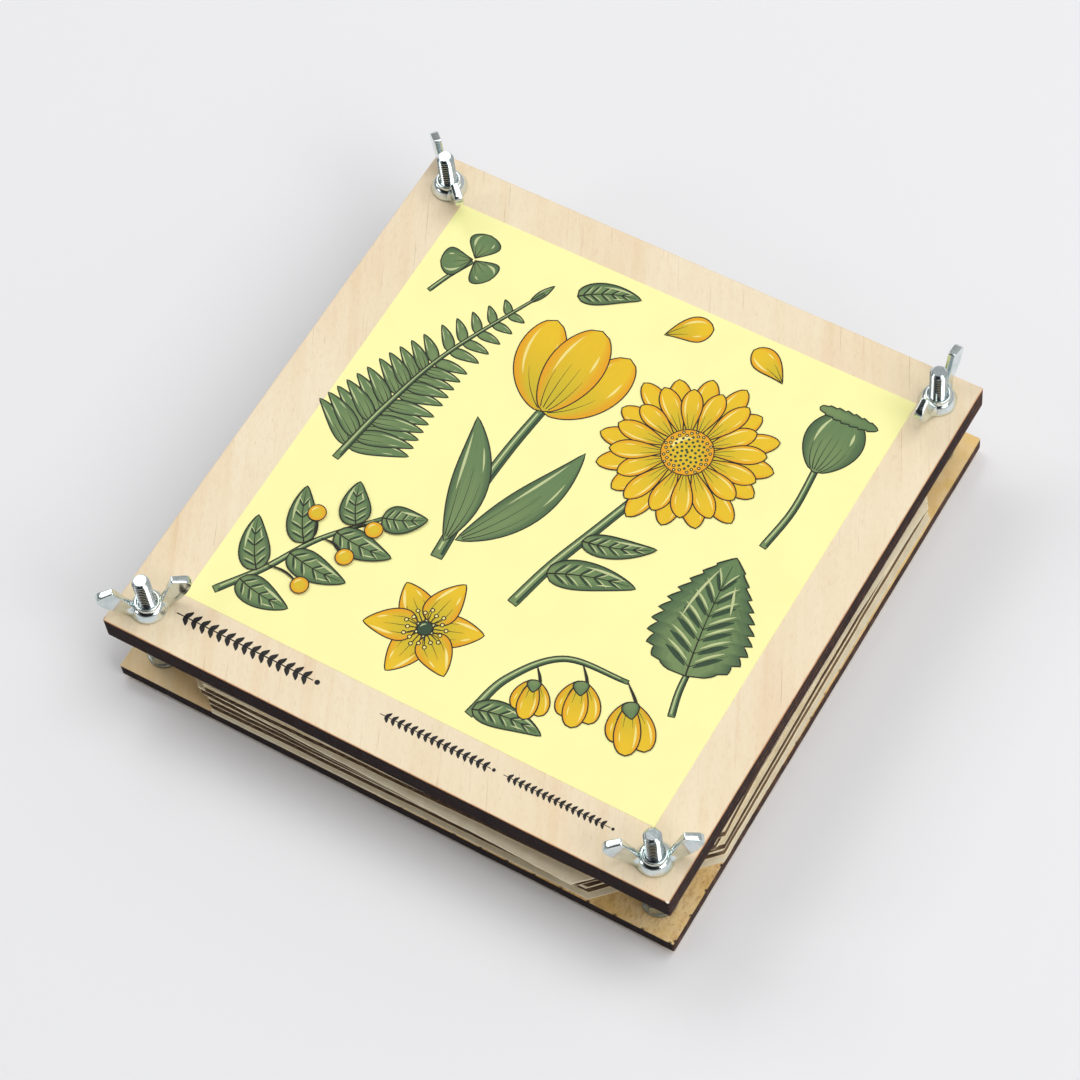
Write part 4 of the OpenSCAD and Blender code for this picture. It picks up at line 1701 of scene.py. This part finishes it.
    def dot(self, centre: Sequence[float], radius: float, ink: Ink, outlined: bool = True) -> None:
        """Draws a round spot, with a light on it if it is large."""
        angles = np.arange(22) / 22 * TAU
        ring = np.stack([np.cos(angles), np.sin(angles)], -1)
        shares = np.array([0.02, 0.4, 0.7, 1.0])
        flat = np.array(centre, float) + ring[:, None] * (radius * shares)[None, :, None]
        side = np.broadcast_to(shares, flat.shape[:2])
        self.draft.add_grid(self.lay(flat), ink.value, wrap_rows=True, along=0.5, across=side)
        self.draft.add_face(range(self.draft.count - 88, self.draft.count, 4), ink.value)
        if outlined:
            rim = np.array(centre, float) + ring * radius
            self.ribbon(rim, np.full(len(rim), self.line_w * 0.42), Ink.LINE, closed=True)
        if radius > 1.4:
            arc = np.radians(np.linspace(100, 190, 8))
            line = np.array(centre, float) + np.stack([np.cos(arc), np.sin(arc)], -1) * radius * 0.62
            light = Ink.GLOW if ink is Ink.PETAL else Ink.GLINT
            self.ribbon(line, radius * 0.09 * np.sin(np.linspace(0.1, 3, 8)), light)

    def whorl(
        self, centre: Sequence[float], count: int, inner: float, length: float, half_w: float, shape: Blade,
        first: float = 0.0, ink: Ink = Ink.PETAL, rays: int = 0,
    ) -> None:
        """Draws petals all round a centre, every second one in front of its neighbours.

        Args:
            centre: The middle of the flower.
            count: Number of petals.
            inner: Distance from the middle at which they start.
            length: Their length.
            half_w: Half their width.
            shape: Their shape.
            first: Direction of the first one, in degrees.
            ink: Their ink.
            rays: Number of fine lines on each.
        """
        middle = np.array(centre, float)

        def petal(number: int) -> Callable[[], None]:
            """Prepares one petal."""
            angle = math.radians(first) + number / count * TAU
            out = np.array([math.cos(angle), math.sin(angle)])
            uneven = 1 + 0.07 * math.sin(number * 2.4)
            root, tip = middle + out * inner, middle + out * (inner + length * uneven)
            bend = 0.04 * math.sin(number * 1.7)
            return lambda: self.blade(root, tip, half_w, shape, ink, bend=bend, rays=rays)

        for parity in (0, 1):
            self.tier([petal(number) for number in range(parity, count, 2)])

    def build(self) -> None:
        """Makes the figure's mesh."""
        piece = self.draft.build(self.name, self.inks, 60)
        finish_piece(piece, "pressing", "print")


@dataclass
class Print:
    """The printed field: a yellow ground with figures of garden plants, and an ornament on the wood."""

    finishes: Finishes
    golden_angle: float = math.radians(137.5)
    soft_edge: float = 0.04
    border_y: float = -87.0
    border_runs: tuple[tuple[float, ...], ...] = (
        (-78.0, -31.0, 2.9, 3.1), (-5.0, 32.0, 2.0, 2.3), (38.0, 73.0, 1.7, 2.0))

    def figure(self, name: str) -> Figure:
        """A new figure above the ground, drawn from the field's front left corner."""
        return Figure(f"printed_{name}", self.finishes.figure_inks, self.top, self.corner)

    def ground(self) -> None:
        """The yellow ground, a thin film with softly broken edges."""
        low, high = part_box("print_field")
        sides = []
        for first, last in ((low.x / MM, high.x / MM), (low.y / MM, high.y / MM)):
            inner = np.linspace(first + 1, last - 1, 40)
            start, end = [first, first + self.soft_edge], [last - self.soft_edge, last]
            sides.append(np.concatenate([start, inner, end]))
        across, depth = np.meshgrid(*sides, indexing="ij")
        height = np.full(across.shape, high.z / MM)
        height[[0, -1]] = low.z / MM
        height[:, [0, -1]] = low.z / MM
        draft = MeshDraft()
        draft.add_grid(np.stack([across, depth, height], -1))
        under = np.stack([across, depth, np.full(across.shape, low.z / MM)], -1)
        draft.add_grid(under[[0, -1]][:, [0, -1]], flip=True)
        piece = draft.build("printed_ground", [self.finishes.ground], 60)
        finish_piece(piece, "pressing", "print", "print_field")

    def rayed_flower(self) -> None:
        """A large rayed flower with a seeded disc, on a leafy stalk."""
        figure = self.figure("rayed_flower")
        figure.stem([(91, 45), (95, 62), (101, 80), (107, 98)], 3.6, 2.8)
        figure.blade((95, 59), (122, 67), 5.2, Blade.OVATE, Ink.LEAF, bend=0.1, veins=5)
        figure.blade((99, 74), (121, 82), 4.0, Blade.OVATE, Ink.LEAF, bend=-0.1, veins=5)
        centre = (112, 117)
        figure.whorl(centre, 16, 6, 22, 3.7, Blade.OBOVATE, 12)
        figure.whorl(centre, 16, 5.5, 18.5, 3.4, Blade.OBOVATE, 1, rays=2)
        figure.dot(centre, 8.4, Ink.PETAL)
        spots = []
        for seed in range(76):
            angle, reach = seed * self.golden_angle, 0.9 * math.sqrt(seed)
            spots.append((centre[0] + reach * math.cos(angle), centre[1] + reach * math.sin(angle)))
        figure.tier([lambda s=s: figure.dot(s, 0.46, Ink.SEED, outlined=False) for s in spots[:46]])
        figure.tier([lambda s=s: figure.dot(s, 0.4, Ink.GLOW) for s in spots[46:]])
        figure.build()

    def fern_frond(self) -> None:
        """A fern frond of paired leaflets."""
        figure = self.figure("fern_frond")
        knots = [(15, 64), (19, 88), (26, 114), (42, 148)]
        spine = Figure.curve(knots, 60)
        left = Figure.sideways(spine)
        pairs = 16

        def leaflet(number: int, side: int) -> Callable[[], None]:
            """Prepares one leaflet."""
            place = int(5 + number * 51 / pairs)
            share = 1 - number / pairs
            run = np.array([left[place][1], -left[place][0]])
            length = 4 + 14.5 * share ** 0.8
            tip = spine[place] + side * left[place] * length + run * length * 0.42
            return lambda: figure.blade(spine[place], tip, 1.3 + 1.7 * share, Blade.OVATE, Ink.LEAF,
                                        bend=-side * 0.08, rays=2 if share > 0.4 else 0)

        for parity in (0, 1):
            figure.tier([leaflet(number, side) for number in range(parity, pairs, 2) for side in (1, -1)])
        figure.blade(spine[-4], spine[-1] + (1.5, 4), 1.3, Blade.LANCE, Ink.LEAF)
        figure.stem(knots, 2.4, 0.8)
        figure.build()

    def tulip(self) -> None:
        """A cup-shaped flower from the side, between two long leaves."""
        figure = self.figure("tulip")
        figure.blade((64, 56), (84, 102), 6.4, Blade.LANCE, Ink.LEAF, bend=-0.16, rays=3)
        figure.stem([(62, 48), (61, 70), (62, 92), (64, 110)], 4.0, 3.0)
        figure.blade((61, 54), (47, 98), 6.0, Blade.LANCE, Ink.LEAF, bend=-0.14, rays=3)
        base = (64, 109)
        figure.blade(base, (51, 141), 8.2, Blade.ROUND, Ink.PETAL, bend=0.2, rays=2)
        figure.blade(base, (79, 139), 8.2, Blade.ROUND, Ink.PETAL, bend=-0.2, rays=2)
        figure.blade(base, (66, 144), 9.2, Blade.ROUND, Ink.PETAL, rays=4)
        figure.build()

    def berry_sprig(self) -> None:
        """A sprig of oval leaves and round berries."""
        figure = self.figure("berry_sprig")
        figure.stem([(7, 6), (17, 20), (26, 36), (40, 52)], 2.6, 1.2)
        leaves = [((12, 13), (31, 11)), ((15, 18), (5, 35)), ((21, 28), (42, 27)), ((23, 33), (13, 51)),
                  ((30, 41), (50, 41)), ((34, 46), (27, 60)), ((40, 52), (53, 58))]
        for number, (base, tip) in enumerate(leaves):
            figure.blade(base, tip, 4.9, Blade.OVATE, Ink.LEAF, bend=0.1 if number % 2 else -0.1, veins=4)
        berries = [((17, 21), (30, 19.5)), ((27, 37), (37, 34.5)), ((25, 35), (21, 44)),
                   ((33, 45), (40, 47))]
        for base, spot in berries:
            figure.stroke([base, ((base[0] + spot[0]) / 2, (base[1] + spot[1]) / 2 + 1.2), spot], 0.8)
            figure.dot(spot, 2.9, Ink.PETAL)
        figure.build()

    def toothed_leaf(self) -> None:
        """A broad toothed leaf."""
        figure = self.figure("toothed_leaf")
        figure.stem([(153, 34), (151, 42), (150, 50)], 2.2, 1.8)
        figure.blade((150, 48), (144, 91), 16, Blade.OVATE, Ink.LEAF, bend=0.04, teeth=11, tooth_depth=0.2,
                     veins=7)
        figure.build()

    def bell_spray(self) -> None:
        """Nodding bells on an arching stalk."""
        figure = self.figure("bell_spray")
        figure.stem([(99, 6), (103, 22), (115, 36), (136, 38)], 3.0, 1.4)
        figure.blade((99, 8), (122, 10), 4.4, Blade.OVATE, Ink.LEAF, bend=0.14, veins=5)
        bells = (((109, 30), (114, 17), 5.6), ((121, 37), (128, 22), 6.4), ((136, 38), (147, 22), 7.0))
        for top, foot, size in bells:
            drop = np.array(foot, float) - np.array(top)
            figure.stroke([top, np.array(top) + drop * 0.5 + (1.2, 1.6), foot], 1.1)
            start = np.array(top) + drop * 0.35
            for across, down in ((-0.6, -0.5), (0.7, -0.3), (0.05, -0.85)):
                figure.blade(start, np.array(foot) + (size * across, size * down), size * 0.58, Blade.TONGUE,
                             Ink.PETAL, bend=0.16 * across, rays=2)
            figure.blade(start, start + drop * 0.3, size * 0.38, Blade.OVATE, Ink.LEAF, glint=False)
        figure.build()

    def star_flower(self) -> None:
        """A six-pointed flower seen from above."""
        figure = self.figure("star_flower")
        centre = (72, 25)
        figure.whorl(centre, 6, 2.5, 16, 5.6, Blade.OVATE, 20, rays=3)
        tips = []
        for number in range(18):
            angle, reach = number / 18 * TAU, 5.4 + 1.2 * (number % 2)
            tips.append((centre[0] + reach * math.cos(angle), centre[1] + reach * math.sin(angle)))
        figure.tier([lambda t=t: figure.stroke([centre, t], 0.4) for t in tips])
        figure.tier([lambda t=t: figure.dot(t, 0.6, Ink.GLOW) for t in tips])
        figure.dot(centre, 2.4, Ink.SEED)
        figure.build()

    def seed_head(self) -> None:
        """A round seed head with a scalloped lid."""
        figure = self.figure("seed_head")
        figure.stem([(149, 98), (151, 114), (150, 132)], 2.4, 2.0)
        figure.blade((150, 129), (150.5, 153), 9.4, Blade.ROUND, Ink.LEAF, rays=6)
        figure.blade((140.5, 151), (160.5, 151.6), 2.5, Blade.STRAP, Ink.LEAF, teeth=7, tooth_depth=0.3,
                     glint=False)
        figure.build()

    def loose_parts(self) -> None:
        """A clover leaf, fallen petals and small leaves between the larger figures."""
        figure = self.figure("loose_parts")
        figure.stem([(8, 132), (11, 140), (15, 148)], 1.5, 1.3)
        figure.whorl((15, 149), 3, 0.5, 10, 5.4, Blade.OBOVATE, 90, Ink.LEAF, rays=3)
        figure.blade((84, 152), (97, 161), 4.8, Blade.OBOVATE, Ink.PETAL, bend=0.1, rays=2)
        figure.blade((52, 152), (71, 160), 4.2, Blade.OVATE, Ink.LEAF, bend=0.15, veins=5)
        figure.blade((126, 153), (112, 160), 4.4, Blade.OBOVATE, Ink.PETAL, bend=-0.1, rays=2)
        figure.build()

    def border(self) -> None:
        """Three dark garlands on the bare wood in front of the field, each finer than the last."""
        inks = [self.finishes.border] * len(Ink)
        figure = Figure("printed_border", inks, self.wood + 0.02, (0.0, 0.0), line_w=0.12)
        y = self.border_y
        for first, last, size, pitch in self.border_runs:
            figure.stroke([(first - size, y), ((first + last) / 2, y), (last, y)], size * 0.16, taper=0.8)
            marks = []
            for number in range(int((last - first) / pitch)):
                x = first + number * pitch
                for side in (1, -1):
                    tip = (x + size * 0.62, y + side * size * 0.9)
                    marks.append(lambda x=x, t=tip, s=side: figure.blade(
                        (x, y), t, size * 0.27, Blade.OVATE, Ink.LINE, bend=-0.12 * s, glint=False))
            figure.tier(marks)
            figure.dot((last + size * 0.5, y), size * 0.3, Ink.LINE, outlined=False)
        figure.build()

    def build(self) -> None:
        """Builds the ground and every figure."""
        low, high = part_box("print_field")
        self.top = high.z / MM + 0.004
        self.wood = low.z / MM
        self.corner = (low.x / MM, low.y / MM)
        self.ground()
        for draw in (self.rayed_flower, self.fern_frond, self.tulip, self.berry_sprig, self.toothed_leaf,
                     self.bell_spray, self.star_flower, self.seed_head, self.loose_parts, self.border):
            draw()


@dataclass
class Studio:
    """The floor, the lamps, the sky and the camera."""

    floor_colour: Colour = srgb(238, 238, 240)
    floor_reach: float = 6000.0
    camera_place: tuple[float, float, float] = (0.34826, -0.45057, 0.97402)
    camera_azimuth: float = 38.076
    camera_elevation: float = 59.294
    camera_roll: float = -8.78
    lens: float = 118.0
    sky_left: float = 0.27
    sky_right: float = 0.52
    bright_way: tuple[float, float, float] = (0.87, 0.5, 0.0)
    dark_way: tuple[float, float, float] = (0.1, -0.42, 0.902)
    key_power: float = 24.5
    side_power: float = 14.8
    back_power: float = 8.9
    left_power: float = 8.1
    low_power: float = 2.8

    def floor(self) -> None:
        """A plain pale floor."""
        draft = MeshDraft()
        side = np.linspace(-self.floor_reach, self.floor_reach, 9)
        x, y = np.meshgrid(side, side, indexing="ij")
        draft.add_grid(np.stack([x, y, np.zeros_like(x)], -1))
        material, wiring, shader, place = open_material("floor")
        tint = wiring.noise(place, (3, 3, 3), 2)
        darker = tuple(c * 0.985 for c in self.floor_colour)
        wiring.feed(shader.inputs["Base Color"], wiring.mix(tint, self.floor_colour, darker))
        shader.inputs["Roughness"].default_value = 0.9
        shader.inputs["Specular IOR Level"].default_value = 0.1
        floor = draft.build("floor", [material])

    def lamp(self, name: str, place: tuple[float, float, float], size: float, power: float) -> None:
        """Adds one square soft lamp that looks at the origin.

        Args:
            name: Name of the lamp.
            place: Where it hangs, in metres.
            size: Its side, in metres.
            power: Its power, in watts.
        """
        light = bpy.data.lights.new(name, "AREA")
        light.shape = "SQUARE"
        light.size = size
        light.energy = power
        made = bpy.data.objects.new(name, light)
        made.location = place
        made.rotation_euler = (-Vector(place)).to_track_quat("-Z", "Y").to_euler()
        bpy.context.scene.collection.objects.link(made)

    def sky(self) -> None:
        """A sky that is brighter to the back right, with a dark patch over the front."""
        world = bpy.data.worlds.new("studio")
        bpy.context.scene.world = world
        world.use_nodes = True
        world.node_tree.nodes.clear()
        wiring = Wiring(world.node_tree)
        way = wiring.node("ShaderNodeTexCoord").outputs["Generated"]
        near, toward = (
            wiring.node("ShaderNodeVectorMath", {0: way, 1: aim}, operation="DOT_PRODUCT").outputs["Value"]
            for aim in (self.dark_way, self.bright_way))
        colour = wiring.mix(wiring.step(near, 0.7, 0.82), (1.0, 1.0, 1.0), (0.05, 0.05, 0.054))
        strength = wiring.step(toward, -0.6, 0.6, self.sky_left, self.sky_right)
        shader = wiring.node("ShaderNodeBackground", {"Color": colour, "Strength": strength})
        wiring.node("ShaderNodeOutputWorld", {"Surface": shader.outputs[0]})

    def camera(self) -> None:
        """The camera, where the picture was taken from."""
        data = bpy.data.cameras.new("camera")
        data.lens = self.lens
        data.sensor_width = 36.0
        data.clip_start = 0.01
        data.clip_end = 50.0
        made = bpy.data.objects.new("camera", data)
        bpy.context.scene.collection.objects.link(made)
        azimuth, elevation = math.radians(self.camera_azimuth), math.radians(self.camera_elevation)
        level = math.cos(elevation)
        ahead = Vector((-math.sin(azimuth) * level, math.cos(azimuth) * level, -math.sin(elevation)))
        right = Vector((math.cos(azimuth), math.sin(azimuth), 0))
        up = right.cross(ahead)
        roll = math.radians(self.camera_roll)
        side = right * math.cos(roll) + up * math.sin(roll)
        made.matrix_world = Matrix.Translation(self.camera_place) @ Matrix(
            (side, side.cross(ahead), -ahead)).transposed().to_4x4()
        bpy.context.scene.camera = made

    def build(self) -> None:
        """Builds the studio."""
        self.camera()
        self.floor()
        self.sky()
        self.lamp("key", (0.61, 0.45, 2.12), 1.65, self.key_power)
        self.lamp("side", (1.92, -0.46, 1.69), 1.1, self.side_power)
        self.lamp("left", (-1.75, 0.11, 1.63), 1.0, self.left_power)
        self.lamp("low", (-1.45, -1.2, 1.1), 0.6, self.low_power)
        self.lamp("back", (-1.3, 0.95, 2.1), 0.9, self.back_power)
        view = bpy.context.scene.view_settings
        view.view_transform = "Standard"


def corner_axes(nodes: dict[str, bpy.types.Object]) -> list[tuple[float, float]]:
    """The bolts' axes, in millimetres, in the order of CORNERS."""
    axes = []
    for corner in CORNERS:
        low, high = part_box(f"coach_bolt_{corner}")
        axes.append(((low.x + high.x) / 2 / MM, (low.y + high.y) / 2 / MM))
    return axes


def main() -> None:
    """Builds the press, its print and the studio round the frame."""
    logging.basicConfig(level=logging.INFO, format="%(name)s: %(message)s")
    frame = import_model()
    nodes = frame["nodes"]
    Studio().build()
    shelf = EffectShelf()
    board_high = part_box("pressing_board")[1]
    finishes = Finishes(shelf, board_high.x / MM, board_high.z / MM)
    axes = corner_axes(nodes)
    Board("base_board", "base", finishes.base_face, finishes.base_edge, axes, seed=5, seat_r=8.05,
          seat_depth=1.25).build()
    Board("pressing_board", "pressing", finishes.pressing_face, finishes.pressing_edge, axes, seed=2).build()
    Print(finishes).build()
    BoltSet(finishes, axes, dict(zip(CORNERS, (41.0, 34.0, 91.0, 138.0)))).build()
    Pile(finishes, nodes).build()


if __name__ == "__main__":
    main()
